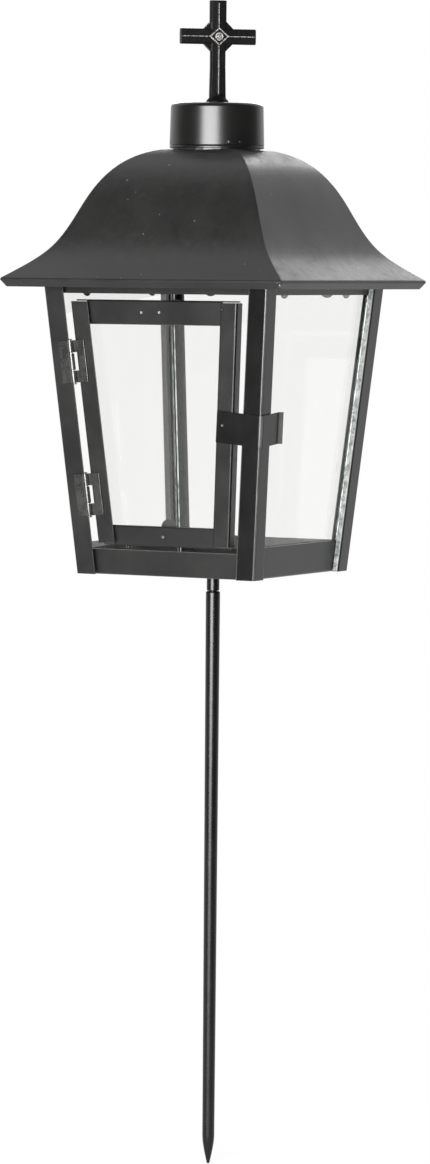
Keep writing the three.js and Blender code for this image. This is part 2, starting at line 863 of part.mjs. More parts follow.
// A dimple: a button pressed inwards, with a round dent outside
function dimple(turn) {
  const wallRadius = capRadius - capSheet;
  const button = turned([
    [0, -dimpleDepth],
    [dimpleRadius * domeShare, -dimpleDepth * domeRiseShare],
    [dimpleRadius, 0],
    [dimpleRadius, capSheet / 2],
    [0, capSheet / 2],
  ], smallFacets);
  const dent = new THREE.SphereGeometry(dentRadius, smallFacets, smallFacets / 2);
  dent.translate(0, 0, capSheet + dentRadius - dentDepth);
  return [button, dent].map((geometry) => {
    geometry.rotateX(Math.PI / 2).translate(0, -wallRadius, dimpleLevel);
    return geometry.rotateZ(turn);
  });
}

function buildCap(parent) {
  const pitch = (2 * Math.PI) / dimpleCount;
  const dimples = Array.from({ length: dimpleCount }, (_, index) => dimple(dimpleTurn + index * pitch));
  const shell = joined(capShell(), ...dimples.map(([button]) => button));
  addPiece('cap', cut(shell, ...dimples.map(([, dent]) => dent)), 'cap', parent);
}

// Cross

// Right half of the cross's outline, from the foot of its stem to the middle of its top
function crossHalf() {
  const stem = crossStemWidth / 2;
  const waist = crossWaistWidth / 2;
  const armLow = crossArmLevel - crossArmHeight / 2;
  const armHigh = crossArmLevel + crossArmHeight / 2;
  const end = crossSpan / 2;
  const half = new THREE.Path();
  half.moveTo(stem, 0);
  half.quadraticCurveTo(waist, crossWaistLevel / 2, waist, crossWaistLevel);
  half.lineTo(waist, armLow - crossFillet);
  half.absarc(waist + crossFillet, armLow - crossFillet, crossFillet, Math.PI, Math.PI / 2, true);
  half.lineTo(end - crossEndRadius, armLow);
  half.absarc(end - crossEndRadius, armLow + crossEndRadius, crossEndRadius, -Math.PI / 2, 0);
  half.absarc(end - crossEndRadius, armHigh - crossEndRadius, crossEndRadius, 0, Math.PI / 2);
  half.lineTo(stem + crossFillet, armHigh);
  half.absarc(stem + crossFillet, armHigh + crossFillet, crossFillet, -Math.PI / 2, -Math.PI, true);
  half.lineTo(stem, crossHeight - crossEndRadius);
  half.absarc(stem - crossEndRadius, crossHeight - crossEndRadius, crossEndRadius, 0, Math.PI / 2);
  return half.getPoints(hipSteps + 1);
}

function crossOutline() {
  const right = crossHalf();
  const left = right.map((point) => new THREE.Vector2(-point.x, point.y)).reverse();
  return new THREE.Shape([...right, ...left]);
}

// Stands an outline of [x, level] upright, centred on the plane of the cross
function upright(shape, thickness) {
  return extruded(shape, thickness).translate(0, 0, -thickness / 2).rotateX(Math.PI / 2);
}

// A bar whose section rises from its edges to a ridge along the middle of each face
function ridgedBar(halfWidth, length) {
  const section = new THREE.Shape([
    new THREE.Vector2(halfWidth, -crossEdge / 2),
    new THREE.Vector2(halfWidth, crossEdge / 2),
    new THREE.Vector2(0, crossThickness / 2),
    new THREE.Vector2(-halfWidth, crossEdge / 2),
    new THREE.Vector2(-halfWidth, -crossEdge / 2),
    new THREE.Vector2(0, -crossThickness / 2),
  ]);
  return extruded(section, length);
}

function lozenge() {
  const shape = new THREE.Shape([
    new THREE.Vector2(lozengeSpan / 2, crossArmLevel),
    new THREE.Vector2(0, crossArmLevel + lozengeHeight / 2),
    new THREE.Vector2(-lozengeSpan / 2, crossArmLevel),
    new THREE.Vector2(0, crossArmLevel - lozengeHeight / 2),
  ]);
  return upright(shape, crossThickness + 2 * lozengeRaise);
}

function crossFoot() {
  const [wide, narrow] = [crossFootWidth / 2, crossStemWidth / 2];
  const flareShares = [[1, 0], [0.97, 0.14], [0.36, 0.5], [0, 1]];
  const flare = flareShares.map(([out, up]) => [narrow + (wide - narrow) * out, crossFootHeight * up]);
  const foot = turned([[0, 0], ...flare, [0, crossFootHeight]], smallFacets);
  return foot.scale(1, crossFootDepth / crossFootWidth, 1);
}

function buildCross(parent) {
  const blank = upright(crossOutline(), crossThickness + 2 * rosetteRaise);
  const stem = ridgedBar(crossStemWidth / 2, crossHeight);
  const arms = ridgedBar(crossArmHeight / 2, crossSpan).translate(0, 0, -crossSpan / 2);
  arms.rotateZ(Math.PI / 2).rotateY(Math.PI / 2).translate(0, 0, crossArmLevel);
  const webHalf = crossStemWidth / 2 + crossFillet;
  const web = block(
    new THREE.Vector3(-webHalf, -crossEdge / 2, crossArmLevel - crossArmHeight / 2 - crossFillet),
    new THREE.Vector3(webHalf, crossEdge / 2, crossArmLevel + crossArmHeight / 2 + crossFillet),
  );
  const bars = common(joined(stem, arms, web), blank);
  const rosette = new THREE.CylinderGeometry(
    rosetteRadius,
    rosetteRadius,
    crossThickness + 2 * rosetteRaise,
    smallFacets,
  );
  rosette.translate(0, 0, crossArmLevel);
  const studLength = capSheet + 2 * seatGap + nutHeight + studEnd;
  const stud = new THREE.CylinderGeometry(studRadius, studRadius, studLength + crossFootHeight, smallFacets);
  stud.rotateX(Math.PI / 2).translate(0, 0, (crossFootHeight - studLength) / 2);
  const cross = joined(bars, lozenge(), rosette, crossFoot(), stud);
  const piece = addPiece('cross', cross, 'cross', parent);
  piece.position.z = capHeight + seatGap;
  piece.rotation.z = crossTurn;
}

function buildNut(parent) {
  const radius = nutAcross / Math.sqrt(3);
  const shape = new THREE.Shape(Array.from({ length: nutSides }, (unused, i) => {
    const turn = (i * 2 * Math.PI) / nutSides;
    return new THREE.Vector2(radius * Math.cos(turn), radius * Math.sin(turn));
  }));
  shape.holes.push(new THREE.Path().absarc(0, 0, studRadius + seatGap / 2, 0, 2 * Math.PI, true));
  const nut = addPiece('cross_nut', extruded(shape, nutHeight), 'pin', parent);
  nut.position.z = capHeight - capSheet - seatGap - nutHeight;
}

// Spike and socket

function buildSpike() {
  addPiece('spike_rod', turned([
    [0, 0],
    [tipRadius, seatGap],
    [rodEndRadius, pointLength],
    [rodTopRadius, rodLength - rodChamfer],
    [rodTopRadius - rodChamfer, rodLength],
    [tenonRadius, rodLength],
    [tenonRadius, footLevel + floorTop],
    [0, footLevel + floorTop],
  ], smallFacets), 'spike', lantern);
}

// The socket's flange lies under the floor, and its neck stands on the rod's shoulder
function buildSocket() {
  const bore = tenonRadius + seatGap;
  const flangeTop = floorTop - floorSheet - seatGap;
  addPiece('spike_socket', turned([
    [bore, -neckLength],
    [neckRadius - neckChamfer, -neckLength],
    [neckRadius, neckChamfer - neckLength],
    [neckRadius, flangeTop - socketFlangeHeight],
    [socketFlange, flangeTop - socketFlangeHeight],
    [socketFlange, flangeTop],
    [neckRadius, flangeTop],
    [neckRadius, floorTop],
    [bore, floorTop],
  ], smallFacets), 'spike');
}

buildSpike();
buildSocket();
buildFloor();
buildPosts();
buildRails();
buildPanes();
buildPaneClips();
buildRoof();
buildDoor();
buildHinges();
buildCollar();

const cover = new THREE.Group();
cover.position.z = rimLevel;
body.add(cover);
buildCap(cover);
buildCross(cover);
buildNut(cover);

export default lantern;
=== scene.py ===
"""Looks of a grave lantern on a ground spike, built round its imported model.

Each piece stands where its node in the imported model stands, in metres. The
ground is at zero, +Z is up, and the lantern's door faces along -Y.
"""

import logging
import math
from collections.abc import Callable, Iterator, Sequence
from contextlib import contextmanager
from dataclasses import dataclass, field
from enum import Enum
from typing import Any

import bpy
from mathutils import Matrix, Vector


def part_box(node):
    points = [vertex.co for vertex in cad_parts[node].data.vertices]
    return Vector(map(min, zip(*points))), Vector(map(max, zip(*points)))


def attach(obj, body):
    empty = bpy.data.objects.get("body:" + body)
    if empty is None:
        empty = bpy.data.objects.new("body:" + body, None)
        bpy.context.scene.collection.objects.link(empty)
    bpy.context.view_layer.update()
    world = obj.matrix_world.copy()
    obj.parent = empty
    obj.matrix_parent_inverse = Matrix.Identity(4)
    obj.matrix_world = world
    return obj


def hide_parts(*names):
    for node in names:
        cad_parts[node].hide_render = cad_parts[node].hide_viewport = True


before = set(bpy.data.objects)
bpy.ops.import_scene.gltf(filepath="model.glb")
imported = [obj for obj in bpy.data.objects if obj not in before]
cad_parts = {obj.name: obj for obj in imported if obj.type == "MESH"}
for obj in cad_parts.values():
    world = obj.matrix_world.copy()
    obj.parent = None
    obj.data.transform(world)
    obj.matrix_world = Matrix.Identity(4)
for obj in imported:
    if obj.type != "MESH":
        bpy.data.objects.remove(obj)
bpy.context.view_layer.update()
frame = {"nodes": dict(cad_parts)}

log = logging.getLogger("grave_lantern")

Colour = tuple[float, float, float, float]
Pair = tuple[float, float]
Test = Callable[[Vector, Vector], bool]
Material, World = bpy.types.Material, bpy.types.World

# Room for error: points closer than MERGE are one, places within HAIR are the same, and
# so are two ways that differ by less than SAME_WAY.
MERGE = 1e-6
HAIR = 1e-5
SAME_WAY = 1e-3
# How far a normal or an edge reaches along a way that it follows, and along a second axis
# where the sheet bends.
FOLLOWS = 0.9
BENT = 0.25
BEND_STEPS = 5
PANE_EDGE = 0.0003
LEFTWARDS = 0.5
UP = Vector((0.0, 0.0, 1.0))
ALONG = Vector((1.0, 0.0, 0.0))
INWARDS = Vector((0.0, 1.0, 0.0))
QUARTER = math.pi / 2
WALLS = ("front", "right", "back", "left")
CORNERS = ("front_left", "front_right", "back_right", "back_left")


class Element(Enum):
    """Kinds of mesh element that an operator acts on."""

    POINT = "vertices"
    EDGE = "edges"
    FACE = "polygons"


class Slot(Enum):
    """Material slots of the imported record."""

    FRAME = "frame_paint"
    ROOF = "roof_paint"
    CAP = "cap_paint"
    CROSS = "cross_paint"
    SPIKE = "spike_paint"
    STEEL = "steel"
    GLASS = "glass"


# Modelling


def clear_selection() -> None:
    """Deselect every object, so that an operator acts on one piece alone."""
    bpy.ops.object.select_all(action="DESELECT")


def rounded_corner(before: Pair, corner: Pair, after: Pair, radius: float, steps: int) -> list[Pair]:
    """Round one corner of a profile.

    Args:
        before: The profile's point before the corner.
        corner: The sharp corner.
        after: The profile's point after it.
        radius: Radius of the arc.
        steps: Number of spans along the arc.

    Returns:
        The arc's points, from the side of ``before`` to the side of ``after``.
    """
    here = Vector(corner)
    arriving = (here - Vector(before)).normalized()
    leaving = (Vector(after) - here).normalized()
    turn = arriving.angle_signed(leaving)
    start = here - arriving * radius * math.tan(abs(turn) / 2)
    side = math.copysign(1.0, -turn)
    centre = start + Vector((-arriving.y, arriving.x)) * side * radius
    points = []
    for step in range(steps + 1):
        arm = start - centre
        arm.rotate(Matrix.Rotation(-turn * step / steps, 2))
        points.append(tuple(centre + arm))
    return points


def bezier(points: Sequence[Pair], steps: int) -> list[Pair]:
    """Sample a cubic curve.

    Args:
        points: Start, two handles and end.
        steps: Number of spans.

    Returns:
        The points along the curve, both ends included.
    """
    a, b, c, d = (Vector(point) for point in points)
    curve = []
    for step in range(steps + 1):
        t = step / steps
        s = 1 - t
        curve.append(tuple(a * s**3 + b * 3 * s * s * t + c * 3 * s * t * t + d * t**3))
    return curve


def cylinder(radius: float, low: float, high: float) -> list[Pair]:
    """Return the profile of a closed cylinder between two levels."""
    return [(0.0, low), (radius, low), (radius, high), (0.0, high)]


class Workpiece:
    """A piece on the bench, shaped by Blender's own modelling operators."""

    def __init__(self, name: str) -> None:
        """Lay a small plane on the bench as the piece's first stock.

        Args:
            name: Name of the finished piece.
        """
        clear_selection()
        bpy.ops.mesh.primitive_plane_add(size=HAIR)
        self._take(name)

    def _take(self, name: str) -> None:
        """Keep the newly added object as this piece."""
        self.obj = bpy.context.object
        self.obj.name = name
        self.obj.data.name = name

    @classmethod
    def ball(cls, name: str, centre: Vector, radius: float, stretch: Vector | None = None) -> "Workpiece":
        """Start from a ball instead of a plane.

        Args:
            name: Name of the piece.
            centre: Centre of the ball.
            radius: Its radius.
            stretch: Scale along each axis.

        Returns:
            The new piece.
        """
        clear_selection()
        bpy.ops.mesh.primitive_ico_sphere_add(subdivisions=3, radius=radius, location=centre)
        piece = cls.__new__(cls)
        piece._take(name)
        piece.obj.scale = stretch or (1.0, 1.0, 1.0)
        piece.settle()
        return piece

    def _grab(self) -> None:
        """Select this piece alone and make it the active one."""
        clear_selection()
        self.obj.select_set(True)
        bpy.context.view_layer.objects.active = self.obj

    @contextmanager
    def edit(self, kind: Element = Element.POINT, whole: bool = True) -> Iterator[None]:
        """Open the piece in edit mode, and close it again.

        Args:
            kind: The element that selections are made of.
            whole: Whether the whole piece is selected, rather than what was picked.

        Yields:
            Nothing; the block runs in edit mode.
        """
        self._grab()
        bpy.context.tool_settings.mesh_select_mode = [kind is each for each in Element]
        bpy.ops.object.mode_set(mode="EDIT")
        if whole:
            bpy.ops.mesh.select_all(action="SELECT")
        try:
            yield
        finally:
            bpy.ops.object.mode_set(mode="OBJECT")

    def pick(self, test: Test) -> "Workpiece":
        """Select the edges that pass a test, and nothing else.

        Args:
            test: Takes an edge's middle and its direction.

        Returns:
            The piece itself.
        """
        mesh = self.obj.data
        for each in Element:
            group = getattr(mesh, each.value)
            group.foreach_set("select", [False] * len(group))
        for edge in mesh.edges:
            start, end = (mesh.vertices[i].co for i in edge.vertices)
            edge.select = test((start + end) / 2, (end - start).normalized())
        return self

    def draw(self, path: Sequence[Vector], closed: bool = False) -> "Workpiece":
        """Turn the first stock into a line through points.

        Args:
            path: The points.
            closed: Whether the line is closed and filled.

        Returns:
            The piece itself.
        """
        with self.edit():
            bpy.ops.mesh.merge(type="CENTER")
            bpy.ops.transform.translate(value=path[0])
            for start, end in zip(path, path[1:]):
                bpy.ops.mesh.extrude_region_move(TRANSFORM_OT_translate={"value": end - start})
            if closed:
                bpy.ops.mesh.select_all(action="SELECT")
                bpy.ops.mesh.edge_face_add()
        return self

    def sweep(self, run: Vector) -> "Workpiece":
        """Extrude all that is drawn along a straight run.

        Args:
            run: Direction and length of the run.

        Returns:
            The piece itself.
        """
        with self.edit(Element.EDGE):
            bpy.ops.mesh.extrude_region_move(TRANSFORM_OT_translate={"value": run})
        return self

    def draw_out(self, moves: Sequence[Vector]) -> "Workpiece":
        """Extrude the picked edges step by step.

        Args:
            moves: The steps.

        Returns:
            The piece itself.
        """
        with self.edit(Element.EDGE, whole=False):
            for move in moves:
                bpy.ops.mesh.extrude_region_move(TRANSFORM_OT_translate={"value": move})
        return self

    def plate(self, outline: Sequence[Vector], run: Vector) -> "Workpiece":
        """Fill an outline and give it a thickness along a run."""
        self.draw(outline, closed=True).sweep(run)
        return self.face_out()

    def fold(self, path: Sequence[Vector], run: Vector, sheet: float, bend: float) -> "Workpiece":
        """Fold a sheet along a path, as on a bending brake.

        Args:
            path: Corners of the sheet's outer face. Seen against the run, the sheet lies on its left.
            run: Direction and length of the fold lines.
            sheet: Thickness of the sheet.
            bend: Radius inside each bend.

        Returns:
            The piece itself.
        """
        self.draw(path).sweep(run)
        axis = run.normalized()
        for before, corner, after in zip(path, path[1:], path[2:]):
            arriving = (corner - before).normalized()
            leaving = (after - corner).normalized()
            turn = arriving.angle(leaving)
            inwards = arriving.cross(leaving).dot(run) > 0
            radius = bend + sheet if inwards else bend
            self.pick(
                lambda middle, way: way.cross(axis).length < SAME_WAY
                and (middle - corner).cross(axis).length < HAIR
            ).bevel(radius * math.tan(turn / 2), BEND_STEPS)
        self.face_towards((path[0] + path[1] + run) / 2, (path[1] - path[0]).cross(run))
        return self.thicken(sheet)

    def bevel(self, width: float, steps: int) -> "Workpiece":
        """Round the picked edges.

        Args:
            width: How far the rounding reaches on both sides.
            steps: Number of spans across it.

        Returns:
            The piece itself.
        """
        with self.edit(Element.EDGE, whole=False):
            bpy.ops.mesh.bevel(offset=width, segments=steps, affect="EDGES", clamp_overlap=False)
        return self

    def lathe(self, profile: Sequence[Pair], steps: int, turn: float = 0.0) -> "Workpiece":
        """Turn a profile about the Z axis.

        Args:
            profile: Pairs of radius and height.
            steps: Number of spans round the axis.
            turn: Azimuth of the first copy of the profile.

        Returns:
            The piece itself.
        """
        spoke = Vector((math.cos(turn), math.sin(turn), 0.0))
        self.draw([spoke * radius + UP * height for radius, height in profile])
        with self.edit():
            bpy.ops.mesh.spin(steps=steps, angle=math.tau, center=(0, 0, 0), axis=UP)
            bpy.ops.mesh.select_all(action="SELECT")
            bpy.ops.mesh.remove_doubles(threshold=MERGE)
        return self.face_out()

    def face_out(self) -> "Workpiece":
        """Make the faces agree and point away from the piece's middle."""
        with self.edit(Element.FACE):
            bpy.ops.mesh.normals_make_consistent(inside=False)
        corners = [Vector(corner) for corner in self.obj.bound_box]
        middle = sum(corners, Vector()) / len(corners)
        faces = self.obj.data.polygons
        outwards = sum(face.area * face.normal.dot(face.center - middle) for face in faces)
        if outwards < 0:
            self._flip()
        return self

    def face_towards(self, place: Vector, outwards: Vector) -> None:
        """Make the face nearest to a place, and all that agree with it, point outwards.

        Args:
            place: The place.
            outwards: The way that the faces should point there.
        """
        nearest = min(self.obj.data.polygons, key=lambda face: (face.center - place).length)
        if nearest.normal.dot(outwards) < 0:
            self._flip()

    def _flip(self) -> None:
        """Turn all faces over."""
        with self.edit(Element.FACE):
            bpy.ops.mesh.flip_normals()

    def trim(self, place: Vector, outwards: Vector) -> "Workpiece":
        """Cut the piece off by a plane, and close the cut.

        Args:
            place: A point of the plane.
            outwards: The side that is cut away.

        Returns:
            The piece itself.
        """
        with self.edit():
            bpy.ops.mesh.bisect(plane_co=place, plane_no=outwards, clear_outer=True, use_fill=True)
        return self

    def modify(self, kind: str, **settings: Any) -> "Workpiece":
        """Add one modifier and apply it.

        Args:
            kind: Blender's name for the modifier's type.
            **settings: Its settings.

        Returns:
            The piece itself.
        """
        self._grab()
        modifier = self.obj.modifiers.new(kind.lower(), kind)
        for name, value in settings.items():
            setattr(modifier, name, value)
        bpy.ops.object.modifier_apply(modifier=modifier.name)
        return self

    def thicken(self, sheet: float) -> "Workpiece":
        """Give a shell its thickness, inwards from its faces."""
        return self.modify("SOLIDIFY", thickness=sheet, offset=-1.0, use_even_offset=True)

    def cut(self, *tools: "Workpiece") -> "Workpiece":
        """Cut the tools' shapes out of the piece, and put the tools away.

        Args:
            *tools: The tools, whose materials go onto the cuts.

        Returns:
            The piece itself.
        """
        for tool in tools:
            self.modify("BOOLEAN", object=tool.obj, operation="DIFFERENCE", solver="EXACT")
            bpy.data.objects.remove(tool.obj)
        return self

    def join(self, *others: "Workpiece") -> "Workpiece":
        """Join other pieces into this one's mesh.

        Args:
            *others: The other pieces, which end.

        Returns:
            The piece itself.
        """
        self._grab()
        for other in others:
            other.obj.select_set(True)
        bpy.ops.object.join()
        return self

    def copy(self, name: str, place: Matrix) -> "Workpiece":
        """Copy the piece, with a mesh of its own, to another place.

        Args:
            name: Name of the copy.
            place: Where the copy goes, from where this piece is.

        Returns:
            The copy.
        """
        self._grab()
        bpy.ops.object.duplicate()
        twin = Workpiece.__new__(Workpiece)
        twin._take(name)
        return twin.put(place)

    def put(self, place: Matrix) -> "Workpiece":
        """Move the piece to its place, which goes into its mesh."""
        self.obj.matrix_world = place
        return self.settle()

    def settle(self) -> "Workpiece":
        """Apply the object's place, turn and scale to its mesh."""
        self._grab()
        bpy.ops.object.transform_apply(location=True, rotation=True, scale=True)
        return self

    def finish(
        self, edge: float = 0.00012, crease: float = math.radians(32), wear_and_glint: int = -1
    ) -> "Workpiece":
        """Break the sharp edges and smooth the rest.

        Args:
            edge: Width of the broken edges, or zero to leave them.
            crease: Angle past which an edge is sharp.
            wear_and_glint: Number of the material that the broken edges get, paint wear with a painted
                highlight, or -1 for that of their neighbours.

        Returns:
            The piece itself.
        """
        if edge:
            limits = {"limit_method": "ANGLE", "angle_limit": crease}
            self.modify("BEVEL", width=edge, segments=2, material=wear_and_glint, **limits)
        self._grab()
        bpy.ops.object.shade_smooth_by_angle(angle=crease)
        return self.modify("WEIGHTED_NORMAL", keep_sharp=True, weight=80)

    def dress(self, *finishes: Material) -> "Workpiece":
        """Give the piece its materials. All of its faces take the first.

        Args:
            *finishes: The materials.

        Returns:
            The piece itself.
        """
        self.obj.data.materials.clear()
        for finish in finishes:
            self.obj.data.materials.append(finish)
        return self

    def tint(self, number: int, test: Test) -> "Workpiece":
        """Give the faces that pass a test another of the piece's materials.

        Args:
            number: Number of the material.
            test: Takes a face's middle and its normal.

        Returns:
            The piece itself.
        """
        for face in self.obj.data.polygons:
            if test(face.center, face.normal):
                face.material_index = number
        return self

    def tint_bends(self, number: int) -> "Workpiece":
        """Give the bends, whose faces look in no axis's direction, another of the piece's materials."""
        return self.tint(number, lambda middle, normal: sorted(abs(part) for part in normal)[1] > BENT)

    def dress_with_glint(self, finish: Material, glinting: Material) -> "Workpiece":
        """Give the whole piece its second material, as a tool whose marks take paint wear with a painted
        highlight.
        """
        return self.dress(finish, glinting).tint(1, lambda middle, normal: True)

    def fit(self, body: str, slot: Slot, finish: Material, *nodes: str) -> "Workpiece":
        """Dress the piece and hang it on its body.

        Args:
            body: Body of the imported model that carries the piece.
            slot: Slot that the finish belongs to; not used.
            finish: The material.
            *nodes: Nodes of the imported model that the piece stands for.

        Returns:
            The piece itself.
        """
        if not self.obj.data.materials:
            self.obj.data.materials.append(finish)
        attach(self.obj, body)
        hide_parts(*nodes)
        log.info("%s: %d faces, for %s", self.obj.name, len(self.obj.data.polygons), ", ".join(nodes))
        return self


def dress_nodes(finish: Material, *names: str) -> None:
    """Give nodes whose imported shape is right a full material.

    Args:
        finish: The material.
        *names: The nodes.
    """
    for name in names:
        node = frame["nodes"][name]
        for holder in node.material_slots:
            holder.material = finish
        log.info("%s: packed shape, new finish", name)


# Shading


class Signal:
    """An output socket whose arithmetic adds Math nodes to its tree."""

    def __init__(self, tree: "ShaderTree", socket: bpy.types.NodeSocket) -> None:
        """Keep the tree and its socket."""
        self.tree = tree
        self.socket = socket

    def _math(self, operation: str, first: Any, second: Any) -> "Signal":
        """Add one Math node and return its value."""
        return self.tree.add("ShaderNodeMath", {"operation": operation}, {0: first, 1: second})

    def __add__(self, other: "Signal | float") -> "Signal":
        """Add a number or a signal."""
        return self._math("ADD", self, other)

    def __radd__(self, other: float) -> "Signal":
        """Add this signal to a number."""
        return self._math("ADD", other, self)

    def __sub__(self, other: "Signal | float") -> "Signal":
        """Take away a number or a signal."""
        return self._math("SUBTRACT", self, other)

    def __rsub__(self, other: float) -> "Signal":
        """Take this signal from a number."""
        return self._math("SUBTRACT", other, self)

    def __mul__(self, other: "Signal | float") -> "Signal":
        """Multiply by a number or a signal."""
        return self._math("MULTIPLY", self, other)

    def __rmul__(self, other: float) -> "Signal":
        """Multiply a number by this signal."""
        return self._math("MULTIPLY", other, self)

    def most(self, other: "Signal | float") -> "Signal":
        """Return the larger of this signal and another."""
        return self._math("MAXIMUM", self, other)

    def ramp(self, low: float, high: float) -> "Signal":
        """Rise smoothly from 0 at one value to 1 at another.

        Args:
            low: The value that gives 0.
            high: The value that gives 1.

        Returns:
            The eased signal.
        """
        return self.tree.add(
            "ShaderNodeMapRange",
            {"interpolation_type": "SMOOTHSTEP"},
            {"Value": self, "From Min": low, "From Max": high},
        )


class ShaderTree:
    """The node tree of one material or world."""

    MIX_COLOURS = (6, 7)
    MIX_RESULT = 2
    SPECK_CORE = 0.6
    HARD_EDGE = 0.001

    def __init__(self, owner: Material | World) -> None:
        """Empty the owner's tree.

        Args:
            owner: The material or world.
        """
        self.owner = owner
        owner.use_nodes = True
        self.tree = owner.node_tree
        self.tree.nodes.clear()

    @classmethod
    def paint(cls, name: str) -> "ShaderTree":
        """Start the tree of a new material."""
        return cls(bpy.data.materials.new(name))

    def add(
        self,
        kind: str,
        settings: dict[str, Any] | None = None,
        sockets: dict[str | int, Any] | None = None,
        output: str | int = 0,
    ) -> Signal:
        """Add a node, set it up and join its inputs.

        Args:
            kind: Blender's name for the node's type.
            settings: The node's own settings.
            sockets: Values or signals for its inputs.
            output: The output that is wanted.

        Returns:
            The wanted output.
        """
        node = self.tree.nodes.new(kind)
        for name, value in (settings or {}).items():
            setattr(node, name, value)
        for name, value in (sockets or {}).items():
            if isinstance(value, Signal):
                self.tree.links.new(value.socket, node.inputs[name])
            else:
                node.inputs[name].default_value = value
        return Signal(self, node.outputs[output]) if node.outputs else Signal(self, None)

    def place(self, scale: Sequence[float] = (1.0, 1.0, 1.0)) -> Signal:
        """Return the piece's own coordinates in metres, stretched along each axis."""
        coordinates = self.add("ShaderNodeTexCoord", output="Object")
        return self.add("ShaderNodeVectorMath", {"operation": "MULTIPLY"}, {0: coordinates, 1: scale})

    def noise(self, place: Signal, per_metre: float, detail: float = 2.0, rough: float = 0.5) -> Signal:
        """Return soft noise.

        Args:
            place: Coordinates.
            per_metre: Spots per metre.
            detail: Octaves.
            rough: Strength of the finer octaves.

        Returns:
            Noise about 0.5.
        """
        sockets = {"Vector": place, "Scale": per_metre, "Detail": detail, "Roughness": rough}
        return self.add("ShaderNodeTexNoise", None, sockets)

    def specks(self, place: Signal, per_metre: float, radius: float, share: float) -> Signal:
        """Return scattered round specks.

        Args:
            place: Coordinates.
            per_metre: Cells per metre.
            radius: Radius of a speck, as a share of its cell.
            share: Share of the cells that hold one.

        Returns:
            1 on a speck and 0 elsewhere.
        """
        sockets = {"Vector": place, "Scale": per_metre}
        cell = self.add("ShaderNodeTexVoronoi", None, sockets, "Distance")
        colour = self.add("ShaderNodeTexVoronoi", None, sockets, "Color")
        chance = self.add("ShaderNodeSeparateColor", None, {"Color": colour}, "Red")
        spot = 1.0 - cell.ramp(radius * self.SPECK_CORE, radius)
        return spot * chance.ramp(1.0 - share, 1.0 - share + self.HARD_EDGE)

    def along(self, direction: Signal, way: Vector) -> Signal:
        """Return how far a vector reaches along a way."""
        sockets = {0: direction, 1: way}
        return self.add("ShaderNodeVectorMath", {"operation": "DOT_PRODUCT"}, sockets, "Value")

    def mix(self, share: Signal | float, first: Signal | Colour, second: Signal | Colour) -> Signal:
        """Mix two colours.

        Args:
            share: Share of the second colour.
            first: The first colour.
            second: The second one.

        Returns:
            The mixed colour.
        """
        low, high = self.MIX_COLOURS
        sockets = {0: share, low: first, high: second}
        return self.add("ShaderNodeMix", {"data_type": "RGBA"}, sockets, self.MIX_RESULT)

    def bump(self, height: Signal) -> Signal:
        """Return the normal of a relief whose height is in metres."""
        return self.add("ShaderNodeBump", None, {"Strength": 1.0, "Distance": 1.0, "Height": height})

    def facing_up(self) -> Signal:
        """Return how far the surface faces upwards, from -1 to 1."""
        normal = self.add("ShaderNodeNewGeometry", output="Normal")
        return self.add("ShaderNodeSeparateXYZ", None, {0: normal}, "Z")

    def principled(self, **sockets: Any) -> Signal:
        """Add the main shader. Its sockets' names are written with underscores."""
        named = {name.replace("_", " "): value for name, value in sockets.items()}
        return self.add("ShaderNodeBsdfPrincipled", None, named)

    def blend(self, share: Signal | float, first: Signal, second: Signal) -> Signal:
        """Mix two shaders by a share of the second."""
        return self.add("ShaderNodeMixShader", None, {0: share, 1: first, 2: second})

    def light_path(self, *rays: str) -> Signal:
        """Tell the named kinds of ray from the others.

        Args:
            *rays: The kinds' names on the Light Path node.

        Returns:
            1 for these kinds and 0 for the others.
        """
        found = [self.add("ShaderNodeLightPath", output=ray) for ray in rays]
        for other in found[1:]:
            found[0] = found[0].most(other)
        return found[0]

    def show(self, surface: Signal) -> Material | World:
        """Join a shader to the owner's output.

        Args:
            surface: The shader.

        Returns:
            The owner.
        """
        kind = "World" if isinstance(self.owner, World) else "Material"
        self.add(f"ShaderNodeOutput{kind}", None, {"Surface": surface})
        return self.owner


def grey(level: float, warmth: float = 0.0) -> Colour:
    """Return a near neutral colour, whose warmth lifts red over blue."""
    return (level * (1 + warmth), level, level * (1 - warmth), 1.0)


DUST = grey(0.55, 0.02)
GLASS_IOR = 1.46


